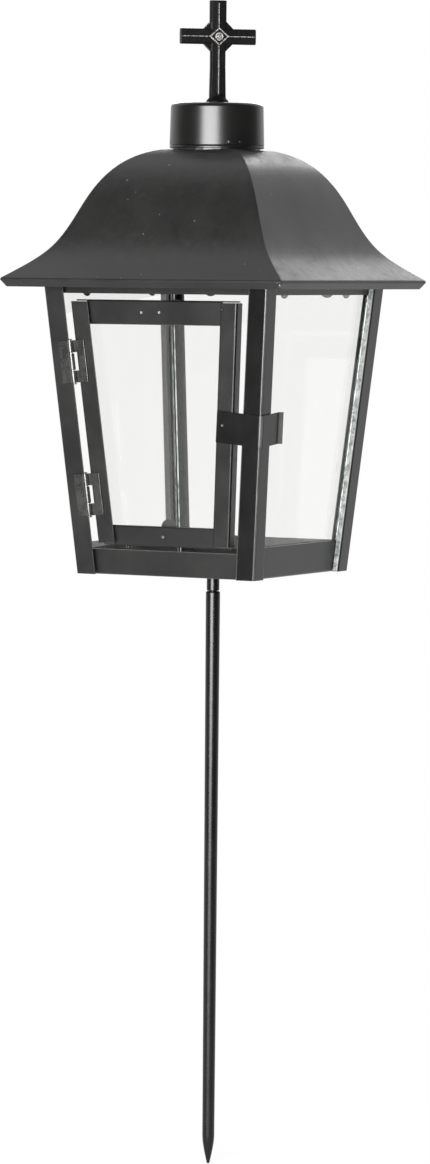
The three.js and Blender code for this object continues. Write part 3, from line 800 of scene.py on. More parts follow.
@dataclass(frozen=True)
class Paint:
    """Dark paint on steel: uneven in tone and gloss, with a fine grain, dust and specks.

    Lengths are in metres and scales in spots per metre, and a pair holds the ends of a
    ramp. ``dulled`` is the roughness that the paint gains where it faces up.
    """

    name: str
    dark: Colour
    light: Colour
    roughness: float
    spread: float = 0.08
    patch: float = 38.0
    patch_share: float = 0.7
    tone_edges: Pair = (0.32, 0.68)
    grain: float = 850.0
    grain_depth: float = 0.000012
    buckle: float = 22.0
    buckle_depth: float = 0.0
    dust: float = 0.1
    dust_scale: float = 260.0
    dust_edges: Pair = (0.42, 0.8)
    dust_slopes: Pair = (0.25, 0.95)
    dust_roughness: float = 0.2
    speck: float = 300.0
    speck_radius: float = 0.1
    speck_share: float = 0.02
    speck_strength: float = 0.35
    speck_depth: float = 0.00002
    specular: float = 0.5
    dulled: float = 0.0
    dulled_slopes: Pair = (0.72, 0.98)

    def material(self) -> Material:
        """Build the paint's node tree.

        Returns:
            The material.
        """
        tree = ShaderTree.paint(self.name)
        place = tree.place()
        patches = tree.noise(place, self.patch, detail=5.0, rough=0.6)
        grain = tree.noise(place, self.grain, detail=3.0, rough=0.6)
        tone = (patches * self.patch_share + grain * (1.0 - self.patch_share)).ramp(*self.tone_edges)
        cover = tree.noise(place, self.dust_scale, detail=6.0, rough=0.75).ramp(*self.dust_edges)
        settled = tree.facing_up().ramp(*self.dust_slopes) * cover
        specks = tree.specks(place, self.speck, self.speck_radius, self.speck_share)
        pale = (settled * self.dust).most(specks * self.speck_strength)
        roughness = self.roughness + (patches - 0.5) * self.spread * 2 + settled * self.dust_roughness
        if self.dulled:
            roughness = roughness + tree.facing_up().ramp(*self.dulled_slopes) * self.dulled
        relief = grain * self.grain_depth + specks * self.speck_depth
        if self.buckle_depth:
            relief = relief + tree.noise(place, self.buckle, detail=1.0, rough=0.4) * self.buckle_depth
        surface = tree.principled(
            Base_Color=tree.mix(pale, tree.mix(tone, self.dark, self.light), DUST),
            Roughness=roughness,
            Specular_IOR_Level=self.specular,
            Normal=tree.bump(relief),
        )
        return tree.show(surface)


@dataclass(frozen=True)
class Steel:
    """Bare steel that has dulled, with stains and fine scratches along its length."""

    name: str
    base: Colour = grey(0.16, 0.02)
    stained: Colour = grey(0.32, 0.04)
    stain: float = 420.0
    stain_edges: Pair = (0.35, 0.7)
    scratch: float = 3200.0
    scratch_run: float = 0.08
    scratch_depth: float = 0.000006
    roughness: float = 0.36
    spread: float = 0.25

    def material(self) -> Material:
        """Build the steel's node tree.

        Returns:
            The material.
        """
        tree = ShaderTree.paint(self.name)
        stretched = tree.place((1.0, 1.0, self.scratch_run))
        scratches = tree.noise(stretched, self.scratch, detail=4.0, rough=0.7)
        stains = tree.noise(tree.place(), self.stain, detail=4.0, rough=0.6)
        surface = tree.principled(
            Base_Color=tree.mix(stains.ramp(*self.stain_edges), self.base, self.stained),
            Roughness=self.roughness + (scratches - 0.5) * self.spread,
            Metallic=1.0,
            Normal=tree.bump(scratches * self.scratch_depth),
        )
        return tree.show(surface)


@dataclass(frozen=True)
class ClearGlass:
    """Float glass with a faint wave and a few smears."""

    name: str
    tint: Colour = (0.962, 0.962, 0.954, 1.0)
    smeared: Colour = grey(0.94)
    smear: float = 55.0
    smear_edges: Pair = (0.55, 0.9)
    smear_roughness: float = 0.04
    wave: float = 14.0
    wave_depth: float = 0.0000015

    def material(self) -> Material:
        """Build the glass, which lets shadow rays through.

        Returns:
            The material.
        """
        tree = ShaderTree.paint(self.name)
        place = tree.place()
        smears = tree.noise(place, self.smear, detail=6.0, rough=0.7).ramp(*self.smear_edges)
        glass = tree.principled(
            Base_Color=tree.mix(smears, self.tint, self.smeared),
            Roughness=smears * self.smear_roughness,
            Transmission_Weight=1.0,
            IOR=GLASS_IOR,
            Normal=tree.bump(tree.noise(place, self.wave, detail=0.0) * self.wave_depth),
        )
        clear = tree.add("ShaderNodeBsdfTransparent", None, {"Color": self.tint})
        return tree.show(tree.blend(tree.light_path("Is Shadow Ray"), glass, clear))


@dataclass(frozen=True)
class CutGlass:
    """The cut edge of a pane: greenish, uneven and half clear, with painted light, since it emits its own
    colour.
    """

    name: str
    deep: Colour = (0.16, 0.20, 0.19, 1.0)
    bright: Colour = (0.72, 0.77, 0.75, 1.0)
    painted_glow: float = 0.2
    chip: float = 260.0
    chip_edges: Pair = (0.4, 0.56)
    chip_depth: float = 0.0001
    roughness: float = 0.25
    spread: float = 0.3

    def material(self) -> Material:
        """Build the cut edge's node tree.

        Returns:
            The material.
        """
        tree = ShaderTree.paint(self.name)
        chips = tree.noise(tree.place(), self.chip, detail=4.0, rough=0.65)
        colour = tree.mix(chips.ramp(*self.chip_edges), self.deep, self.bright)
        surface = tree.principled(
            Base_Color=colour,
            Roughness=self.roughness + chips * self.spread,
            IOR=GLASS_IOR,
            # Painted light: the edge emits its own colour, which stands in for light carried through the
            # glass.
            Emission_Color=colour,
            Emission_Strength=self.painted_glow,
            Normal=tree.bump(chips * self.chip_depth),
        )
        return tree.show(surface)


def made(kind: type, *values: Any, **settings: Any) -> Any:
    """Return a field whose material is built together with the other finishes."""
    return field(default_factory=kind(*values, **settings).material)


@dataclass(frozen=True)
class Finishes:
    """All of the lantern's materials, made once."""

    frame: Material = made(
        Paint, "frame_satin_black", grey(0.005, 0.01), grey(0.010, 0.02), 0.32, dust=0.05
    )
    # Painted shade: a darker, glossier copy of the frame paint, for two of the posts, the latch strap and
    # the stiles' bends.
    frame_shaded: Material = made(
        Paint, "frame_deep_black", grey(0.002), grey(0.004, 0.01), 0.24, dust=0.05, specular=0.4
    )
    hinge: Material = made(
        Paint, "hinge_gloss_black", grey(0.012, 0.01), grey(0.030, 0.02), 0.2,
        patch=160.0, dust=0.05, specular=0.6,
    )
    # Painted reflection: a pale mottled grey on the posts' lips, which stands in for the white
    # surroundings seen in them.
    lip_painted_reflection: Material = made(
        Paint, "frame_spangled_lip", (0.03, 0.034, 0.034, 1.0), (0.27, 0.285, 0.28, 1.0), 0.45,
        patch=330.0, grain=900.0, dust=0.0,
    )
    # Paint wear and painted highlight: a lighter, glossier paint for the outer bends, the roof's weld
    # bead and the cap's dimples, which stands in for the glints along them.
    bend: Material = made(
        Paint, "frame_worn_bend", grey(0.03, 0.02), grey(0.05, 0.02), 0.3,
        patch=90.0, grain_depth=0.000003, dust=0.0, specular=0.8,
    )
    # Paint wear and painted highlight: a light grey for the door's spot-weld marks, which stands in for a
    # glint in each.
    wear_and_glint: Material = made(
        Paint, "frame_rubbed_edge", grey(0.015, 0.02), grey(0.2, 0.02), 0.3, patch=300.0, dust=0.0
    )
    roof: Material = made(
        Paint, "roof_satin_black", grey(0.005, 0.02), grey(0.009, 0.03), 0.38,
        grain_depth=0.000005, buckle_depth=0.0006, dust=0.03, speck_share=0.09, dulled=0.22,
    )
    cap: Material = made(
        Paint, "cap_spun_black", grey(0.002, 0.02), grey(0.004, 0.05), 0.3,
        spread=0.03, grain_depth=0.000003, dust=0.03,
    )
    # Paint wear and painted highlight: patchy pale paint on the cross's ribs, beads and rosette, which
    # stands in for broken glints along them.
    cross_ridge_glint: Material = made(
        Paint, "cross_rubbed_ridge", grey(0.008), grey(0.3, 0.03), 0.35,
        patch=1100.0, grain=1900.0, dust=0.0,
    )
    cross: Material = made(
        Paint, "cross_cast_black", grey(0.001), grey(0.004), 0.42,
        grain=620.0, grain_depth=0.00008, dust=0.02, speck_share=0.03, specular=0.14,
    )
    spike: Material = made(
        Paint, "spike_gloss_black", grey(0.001), grey(0.003), 0.28,
        grain_depth=0.000004, dust=0.02, specular=0.4,
    )
    steel: Material = made(Steel, "dull_steel")
    glass: Material = made(ClearGlass, "clear_glass")
    glass_edge: Material = made(CutGlass, "cut_glass_edge")
    # Painted shade: a darker copy of the cut edge, with little light of its own, for the edges on the
    # panes' left side.
    glass_edge_shaded: Material = made(CutGlass, "cut_glass_dull", grey(0.06), (0.20, 0.22, 0.21, 1.0), 0.02)


# The body's shared form


@dataclass(frozen=True)
class Form:
    """Sizes of the tapering body that several sub-assemblies share."""

    foot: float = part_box("post_front_left")[0].z
    foot_half: float = 0.05
    head_half: float = 0.0626
    height: float = 0.1421
    gap: float = 0.0003
    sheet: float = 0.0008
    bend: float = 0.0004
    post_face: float = 0.0106
    lip_depth: float = 0.0032
    glass: float = 0.002
    glass_cover: float = 0.0059
    head_rail_drop: float = 0.003
    door_foot: float = 0.0149
    door_head: float = 0.1361

    @property
    def lean(self) -> float:
        """Return how far a wall leans out for each metre of rise."""
        return (self.head_half - self.foot_half) / self.height

    @property
    def web_depth(self) -> float:
        """Return the depth of the rails behind the wall's face."""
        return self.lip_depth + self.gap

    @property
    def pane_depth(self) -> float:
        """Return the depth of the fixed panes' outer faces."""
        return self.web_depth + self.sheet + self.gap

    @property
    def head_rail_level(self) -> float:
        """Return the level of the top rails' lower edge."""
        return self.height - self.head_rail_drop

    @property
    def pane_top(self) -> float:
        """Return the level of the fixed panes' top edge."""
        return self.head_rail_level + self.glass_cover

    def half(self, level: float) -> float:
        """Return half of the body's width at a level above its foot."""
        return self.foot_half + self.lean * level

    def at_wall(self, x: float, depth: float, level: float) -> Vector:
        """Return a point behind the front wall's face.

        Args:
            x: Place along the wall.
            depth: Depth behind its face.
            level: Level above the body's foot.

        Returns:
            The point.
        """
        return Vector((x, depth - self.half(level), self.foot + level))

    def at_corner(self, along: float, depth: float, level: float) -> Vector:
        """Return a point measured from the front left corner's two faces."""
        return self.at_wall(along - self.half(level), depth, level)

    def right_post(self, level: float) -> Matrix:
        """Return the frame at the right post's outer corner, with x along the wall and z up the post."""
        place = Vector((self.half(level), -self.half(level), self.foot + level))
        return leaning_frame(place, Vector((self.lean, -self.lean, 1.0)), self.lean)


def leaning_frame(place: Vector, up: Vector, lean: float) -> Matrix:
    """Make a frame whose z runs up a leaning line and whose y runs into the front wall.

    Args:
        place: The frame's origin.
        up: Direction of its z axis.
        lean: How far the wall leans out for each metre of rise.

    Returns:
        The frame as a matrix.
    """
    up = up.normalized()
    inwards = Vector((0.0, 1.0, lean)).normalized()
    along = inwards.cross(up)
    matrix = Matrix((along, inwards, up)).transposed().to_4x4()
    matrix.translation = place
    return matrix


def quarter_turn(count: int) -> Matrix:
    """Return the turn about the lantern's axis that carries the front to a later side."""
    return Matrix.Rotation(count * QUARTER, 4, "Z")


def cut_pane(
    name: str, corners: Sequence[Pair], depth: float, form: Form, finishes: Finishes
) -> Workpiece:
    """Cut a pane with clear faces and cut edges, those on its left side in a darker copy of the edge
    finish, which paints shade there.

    Args:
        name: Name of the piece.
        corners: Its corners behind the front wall, as place along the wall and level.
        depth: Depth of its outer face behind the wall's.
        form: The body's shared sizes.
        finishes: The materials.

    Returns:
        The pane.
    """
    face = Vector((0.0, -1.0, -form.lean)).normalized()

    def on_edge(middle: Vector, normal: Vector) -> bool:
        """Tell whether a face belongs to the cut edge."""
        return abs(normal.dot(face)) < FOLLOWS

    outline = [form.at_wall(x, depth, level) for x, level in corners]
    pane = Workpiece(name).plate(outline, INWARDS * form.glass).finish(edge=PANE_EDGE)
    pane.dress(finishes.glass, finishes.glass_edge, finishes.glass_edge_shaded).tint(1, on_edge)
    # Painted shade: the cut edges on the left side take the darker copy.
    return pane.tint(2, lambda middle, normal: normal.x < -LEFTWARDS and on_edge(middle, normal))


@dataclass
class Spike:
    """The tapered rod in the ground, and the socket that carries the lantern on it.

    The point's handles are shares of the rod's end radius and of the point's length.
    """

    finishes: Finishes
    form: Form
    tip_radius: float = 0.0007
    tip_level: float = 0.0003
    end_radius: float = 0.00305
    top_radius: float = 0.0036
    rod_length: float = 0.2898
    point_length: float = 0.0128
    point_handles: tuple[Pair, ...] = ((0.62, 0.45), (1.0, 0.8), (1.0, 1.15))
    point_steps: int = 10
    chamfer: float = 0.0006
    tenon_radius: float = 0.0021
    neck_radius: float = 0.0032
    neck_chamfer: float = 0.0003
    flange_radius: float = 0.008
    flange_height: float = 0.0012
    steps: int = 48

    def build(self) -> None:
        """Turn the rod and the socket."""
        self._rod()
        self._socket()

    def _rod(self) -> None:
        """Turn the rod with its point, its shoulder and its tenon."""
        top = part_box("spike_rod")[1].z
        handles = [(self.end_radius * out, self.point_length * up) for out, up in self.point_handles]
        profile = [
            (0.0, 0.0),
            *bezier(((self.tip_radius, self.tip_level), *handles), self.point_steps),
            (self.top_radius, self.rod_length - self.chamfer),
            (self.top_radius - self.chamfer, self.rod_length),
            (self.tenon_radius, self.rod_length),
            (self.tenon_radius, top),
            (0.0, top),
        ]
        rod = Workpiece("spike_bar").lathe(profile, self.steps).finish()
        rod.fit("spike", Slot.SPIKE, self.finishes.spike, "spike_rod")

    def _socket(self) -> None:
        """Turn the socket with its flange, which lies under the floor plate."""
        low, high = (corner.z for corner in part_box("spike_socket"))
        bore = self.tenon_radius + self.form.gap
        flange_top = self.form.foot + self.form.sheet
        flange_foot = flange_top - self.flange_height
        profile = [
            (bore, low),
            (self.neck_radius - self.neck_chamfer, low),
            (self.neck_radius, low + self.neck_chamfer),
            (self.neck_radius, flange_foot),
            (self.flange_radius, flange_foot),
            (self.flange_radius, flange_top),
            (self.neck_radius, flange_top),
            (self.neck_radius, high),
            (bore, high),
            (bore, low),
        ]
        socket = Workpiece("socket_sleeve").lathe(profile, self.steps).finish()
        socket.fit("lantern", Slot.SPIKE, self.finishes.spike, "spike_socket")


@dataclass
class Body:
    """The open frame of corner posts and rails, its floor and its three fixed panes."""

    finishes: Finishes
    form: Form
    front_rail: float = 0.0126
    side_rail: float = 0.0157
    rail_foot: float = 0.012
    head_flange: float = 0.0065
    clip_sheet: float = 0.0006

    def build(self) -> None:
        """Build the posts, rails and panes, and dress what stays as packed."""
        self._posts()
        self._rails()
        self._panes()
        clips = [f"pane_clip_{wall}_{mark}" for wall in WALLS[1:] for mark in "ab"]
        dress_nodes(self.finishes.frame, "floor_plate", *clips)

    def _posts(self) -> None:
        """Fold the front left post without its lip at the door, and the other three with both lips."""
        form, finishes = self.form, self.finishes
        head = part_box("post_front_left")[1].z - form.foot
        lip, face = form.lip_depth, form.post_face
        section = [(lip, face), (0.0, face), (0.0, 0.0), (face, 0.0), (face, lip)]
        path = [form.at_corner(along, depth, 0.0) for along, depth in section]
        run = Vector((-form.lean, -form.lean, 1.0)) * head
        bare = Workpiece("post_sheet_front_left").fold(path[:-1], run, form.sheet, form.bend)
        full = Workpiece("post_sheet_front_right").fold(path, run, form.sheet, form.bend)
        for post in (bare, full):
            # Slot 1 holds the lips' pale paint, a painted reflection, and slot 2 holds the bends' lighter
            # paint, paint wear with a painted highlight.
            post.dress(finishes.frame, finishes.lip_painted_reflection, finishes.bend)
            post.tint(1, self._on_lip).tint_bends(2).finish()
        full.put(quarter_turn(1))
        posts = [bare, full]
        for count, corner in enumerate(CORNERS[2:], 1):
            posts.append(full.copy(f"post_sheet_{corner}", quarter_turn(count)))
        # Painted shade: the front right and back left posts take the darker copy of the frame paint.
        dark = (finishes.frame_shaded, finishes.frame_shaded, finishes.bend)
        # The back right post keeps the pale lips, a painted reflection, but no lighter bends.
        seen_inside = (finishes.frame, finishes.lip_painted_reflection, finishes.frame)
        dresses = ((finishes.frame,) * 3, dark, seen_inside, dark)
        for corner, post, dress in zip(CORNERS, posts, dresses):
            for number, finish in enumerate(dress):
                post.obj.data.materials[number] = finish
            post.fit("lantern", Slot.FRAME, dress[0], f"post_{corner}")

    def _on_lip(self, middle: Vector, normal: Vector) -> bool:
        """Tell whether a face of a post, still at the front left, is the outer face of a lip.

        Args:
            middle: The face's middle.
            normal: The face's normal.

        Returns:
            Whether it is.
        """
        form = self.form
        corner = form.at_corner(form.post_face, form.post_face, middle.z - form.foot)
        beyond = (part > edge - form.sheet / 2 for part, edge in zip(middle.xy, corner.xy))
        return any(past and way > FOLLOWS for past, way in zip(beyond, normal.xy))

    def _rail(self, name: str, section: Sequence[Pair]) -> Workpiece:
        """Fold a rail along the front wall and mitre its ends.

        Args:
            name: Name of the piece.
            section: Its corners, as depth and level.

        Returns:
            The rail.
        """
        form = self.form
        reach = form.head_half + form.post_face
        path = [form.at_wall(-reach, depth, level) for depth, level in section]
        rail = Workpiece(name).fold(path, ALONG * 2 * reach, form.sheet, form.bend)
        apex = Vector((0.0, -form.gap / math.sqrt(2), 0.0))
        for side in (-1.0, 1.0):
            rail.trim(apex, Vector((side, 1.0, 0.0)))
        return rail.finish()

    def _rails(self) -> None:
        """Build the bottom and top rails of the four walls."""
        form = self.form
        web = form.web_depth
        top = form.pane_top + 2 * form.gap + self.clip_sheet + form.sheet
        high_section = [(web + self.head_flange, top), (web, top), (web, form.head_rail_level)]
        low_front = self._rail("foot_rail_front", self._low_section(self.front_rail))
        low_side = self._rail("foot_rail_side", self._low_section(self.side_rail))
        high_front = self._rail("head_rail_front", high_section)
        low_front.fit("lantern", Slot.FRAME, self.finishes.frame, "bottom_rail_front")
        for count, wall in enumerate(WALLS[1:], 1):
            low = low_side.copy(f"foot_rail_{wall}", quarter_turn(count))
            low.fit("lantern", Slot.FRAME, self.finishes.frame, f"bottom_rail_{wall}")
            high = high_front.copy(f"head_rail_{wall}", quarter_turn(count))
            high.fit("lantern", Slot.FRAME, self.finishes.frame, f"top_rail_{wall}")
        high_front.fit("lantern", Slot.FRAME, self.finishes.frame, "top_rail_front")
        bpy.data.objects.remove(low_side.obj)

    def _low_section(self, height: float) -> list[Pair]:
        """Return a bottom rail's corners, as depth and level."""
        web = self.form.web_depth
        return [(web, height), (web, 0.0), (self.rail_foot, 0.0)]

    def _panes(self) -> None:
        """Cut one fixed pane, and copy it to the other walls."""
        form = self.form
        foot, head = form.sheet + form.gap, form.pane_top
        inset = form.pane_depth + form.glass + form.gap
        corners = [
            (side * (form.half(level) - inset), level)
            for side, level in ((-1, foot), (1, foot), (1, head), (-1, head))
        ]
        pane = cut_pane("glass_front", corners, form.pane_depth, form, self.finishes)
        for count, wall in enumerate(WALLS[1:], 1):
            copy = pane.copy(f"glass_{wall}", quarter_turn(count))
            copy.fit("lantern", Slot.GLASS, self.finishes.glass, f"pane_{wall}")
        bpy.data.objects.remove(pane.obj)


# Spot welds on the door, as place along the front wall and level above the body's foot
WELD_SPOTS = {
    "head": ((0.0006, 0.1301), (-0.0094, 0.1299)),
    "foot": ((-0.0013, 0.0198),),
    "latch": ((0.0376, 0.1319),),
    "strap": ((0.0359, 0.0757),),
}


@dataclass
class Door:
    """The glazed door: two stiles, two rails, its pane, clips and the latch strap."""

    finishes: Finishes
    form: Form
    sheet: float = 0.0007
    edge: float = 0.0143
    latch_gap_foot: float = 0.004
    latch_gap_head: float = 0.0056
    stile_width: float = 0.0095
    head_width: float = 0.0121
    foot_width: float = 0.01
    lip: float = 0.0045
    flange: float = 0.0055
    setback: float = 0.003
    rail_flange: float = 0.0033
    notch: float = 0.0016
    clip_sheet: float = 0.0006
    strap_height: float = 0.0156
    strap_rise: float = 0.0583
    strap_bend: float = 0.0012
    strap_leg: float = 0.0164
    strap_lip: float = 0.0022
    strap_lip_angle: float = math.radians(50)
    strap_inset: float = 0.001
    strap_edge: float = 0.0002
    rail_lap: float = 0.0021
    weld_radius: float = 0.0009
    weld_depth: float = 0.0003

    def build(self) -> None:
        """Build the door's pieces and hang them on the door's body."""
        self._stiles()
        self._rails()
        self._pane()
        self._strap()
        dress_nodes(self.finishes.frame, "door_clip_foot", "door_clip_head")

    def _hinge_edge(self, level: float) -> float:
        """Return the door's edge on its hinge side, at a level."""
        return self.edge - self.form.half(level)

    def _latch_edge(self, level: float) -> float:
        """Return the door's edge on its latch side, which leans less than the post beside it.

        Args:
            level: Level above the body's foot.

        Returns:
            Its place along the wall.
        """
        form = self.form
        share = (level - form.door_foot) / (form.door_head - form.door_foot)
        widening = (self.latch_gap_head - self.latch_gap_foot) * share
        return form.half(level) - form.post_face - self.latch_gap_foot - widening

    @property
    def _latch_lean(self) -> float:
        """Return how far the latch edge moves along the wall for each metre of rise."""
        foot, head = self.form.door_foot, self.form.door_head
        return (self._latch_edge(head) - self._latch_edge(foot)) / (head - foot)

    def _stiles(self) -> None:
        """Fold the two upright channels, the hinge stile without its lip at the pane."""
        form = self.form
        foot = form.door_foot + self.sheet + form.gap
        head = form.door_head - self.sheet - form.gap
        width = self.stile_width
        stiles = (
            ("hinge", self._hinge_edge(foot), -form.lean, [self.flange]),
            ("latch", self._latch_edge(foot) - width, self._latch_lean, [self.lip, self.flange]),
        )
        for side, left, lean, depths in stiles:
            section = [(0.0, depths[0]), (0.0, 0.0), (width, 0.0)]
            section += [(width, depth) for depth in depths[1:]]
            path = [form.at_wall(left + x, depth, foot) for x, depth in section]
            run = Vector((lean, -form.lean, 1.0)) * (head - foot)
            stile = Workpiece(f"stile_{side}").fold(path, run, self.sheet, form.bend)
            # Painted shade: the stiles' bends take the darker copy of the frame paint.
            stile.dress(self.finishes.frame, self.finishes.frame_shaded).tint_bends(1)
            stile.cut(*self._weld_marks(side)).finish()
            stile.fit("door", Slot.FRAME, self.finishes.frame, f"door_stile_{side}")

    def _rails(self) -> None:
        """Fold the two cross channels between the stiles."""
        form = self.form
        foot, head = form.door_foot, form.door_head
        flange_back = self.setback + self.rail_flange
        sections = {
            "head": [
                (flange_back, head),
                (self.setback, head),
                (self.setback, head - self.head_width),
                (self.lip, head - self.head_width),
            ],
            "foot": [
                (self.lip, foot + self.foot_width),
                (self.setback, foot + self.foot_width),
                (self.setback, foot),
                (flange_back, foot),
            ],
        }
        inset = self.stile_width + form.gap
        for side, section in sections.items():
            level = head if side == "head" else foot
            path = [form.at_wall(-form.head_half, depth, height) for depth, height in section]
            rail = Workpiece(f"door_rail_{side}_sheet")
            rail.fold(path, ALONG * 2 * form.head_half, self.sheet, form.bend)
            left = form.at_wall(self._hinge_edge(level) + inset - self.rail_lap, 0.0, level)
            right = form.at_wall(self._latch_edge(level) - inset, 0.0, level)
            rail.trim(left, Vector((-1.0, 0.0, -form.lean)))
            rail.trim(right, Vector((1.0, 0.0, -self._latch_lean)))
            rail.join(*self._flange_ends(side, level, inset))
            # The weld marks cut into the rail take the light grey paint: paint wear and a painted
            # highlight.
            rail.dress(self.finishes.frame, self.finishes.wear_and_glint)
            rail.cut(*self._weld_marks(side))
            rail.finish().fit("door", Slot.FRAME, self.finishes.frame, f"door_rail_{side}")

    def _flange_ends(self, side: str, level: float, inset: float) -> list[Workpiece]:
        """Make the ends of a rail's flange, which run on over the stiles' ends.

        Args:
            side: ``head`` or ``foot``.
            level: Level of the flange's outer face.
            inset: Distance of the rail's ends from the door's edges.

        Returns:
            The two ends.
        """
        form = self.form
        bottom = level - self.sheet if side == "head" else level
        depths = (self.setback + self.sheet, self.setback + self.rail_flange)
        ends = []
        spans = (
            (self._hinge_edge(level) + self.notch, self._hinge_edge(level) + inset - self.rail_lap),
            (self._latch_edge(level) - inset, self._latch_edge(level) - self.notch),
        )
        for number, (low, high) in enumerate(spans):
            corners = ((low, depths[0]), (high, depths[0]), (high, depths[1]), (low, depths[1]))
            outline = [form.at_wall(x, depth, bottom) for x, depth in corners]
            ends.append(Workpiece(f"flange_end_{number}").plate(outline, UP * self.sheet))
        return ends

    def _weld_marks(self, part: str) -> list[Workpiece]:
        """Make the balls that press the spot welds' shallow marks into a part of the door.

        Args:
            part: Side of a stile or a rail, or ``strap``.

        Returns:
            The balls, none for the hinge stile.
        """
        faces = {"head": self.setback, "foot": self.setback, "strap": -self.form.gap - self.form.sheet}
        depth = faces.get(part, 0.0) - self.weld_radius + self.weld_depth
        marks = []
        for x, level in WELD_SPOTS.get(part, ()):
            mark = Workpiece.ball("weld_mark", self.form.at_wall(x, depth, level), self.weld_radius)
            # Each mark takes the light grey paint: bare weld and a painted highlight.
            marks.append(mark.dress_with_glint(self.finishes.frame, self.finishes.wear_and_glint))
        return marks

    def _pane(self) -> None:
        """Cut the door's pane."""
        form = self.form
        seat = self.sheet + form.gap + self.clip_sheet + form.gap
        foot, head = form.door_foot + seat, form.door_head - seat
        inset = self.sheet + form.bend + form.gap
        depth = self.lip + form.gap
        corners = (
            (self._hinge_edge(foot) + inset, foot),
            (self._latch_edge(foot) - inset, foot),
            (self._latch_edge(head) - inset, head),
            (self._hinge_edge(head) + inset, head),
        )
        pane = cut_pane("glass_door", corners, depth, form, self.finishes)
        pane.fit("door", Slot.GLASS, self.finishes.glass, "door_pane")

    def _strap(self) -> None:
        """Bend the latch strap round the right post."""
        form = self.form
        level = form.door_foot + self.strap_rise
        face = form.gap + form.sheet
        mean_gap = (self.latch_gap_foot + self.latch_gap_head) / 2
        start = self.strap_inset - self.stile_width - mean_gap - form.post_face
        run_out = self.strap_lip * math.sin(self.strap_lip_angle)
        run_in = self.strap_lip * math.cos(self.strap_lip_angle)
        corners = [
            (start, -face),
            (face, -face),
            (face, self.strap_leg),
            (face + run_out, self.strap_leg + run_in),
        ]
        path = [Vector((x, y, -self.strap_height / 2)) for x, y in corners]
        strap = Workpiece("strap_sheet").fold(path, UP * self.strap_height, form.sheet, self.strap_bend)
        # Painted shade and highlight: the strap takes the darker copy of the frame paint, and its bends
        # the lighter bend paint.
        strap.dress(self.finishes.frame_shaded, self.finishes.bend).tint_bends(1)
        strap.put(form.right_post(level)).cut(*self._weld_marks("strap"))
        # The strap's broken edges take the bend paint: paint wear and a painted highlight.
        strap.finish(edge=self.strap_edge, wear_and_glint=1)
        strap.fit("door", Slot.FRAME, self.finishes.frame_shaded, "latch_strap")


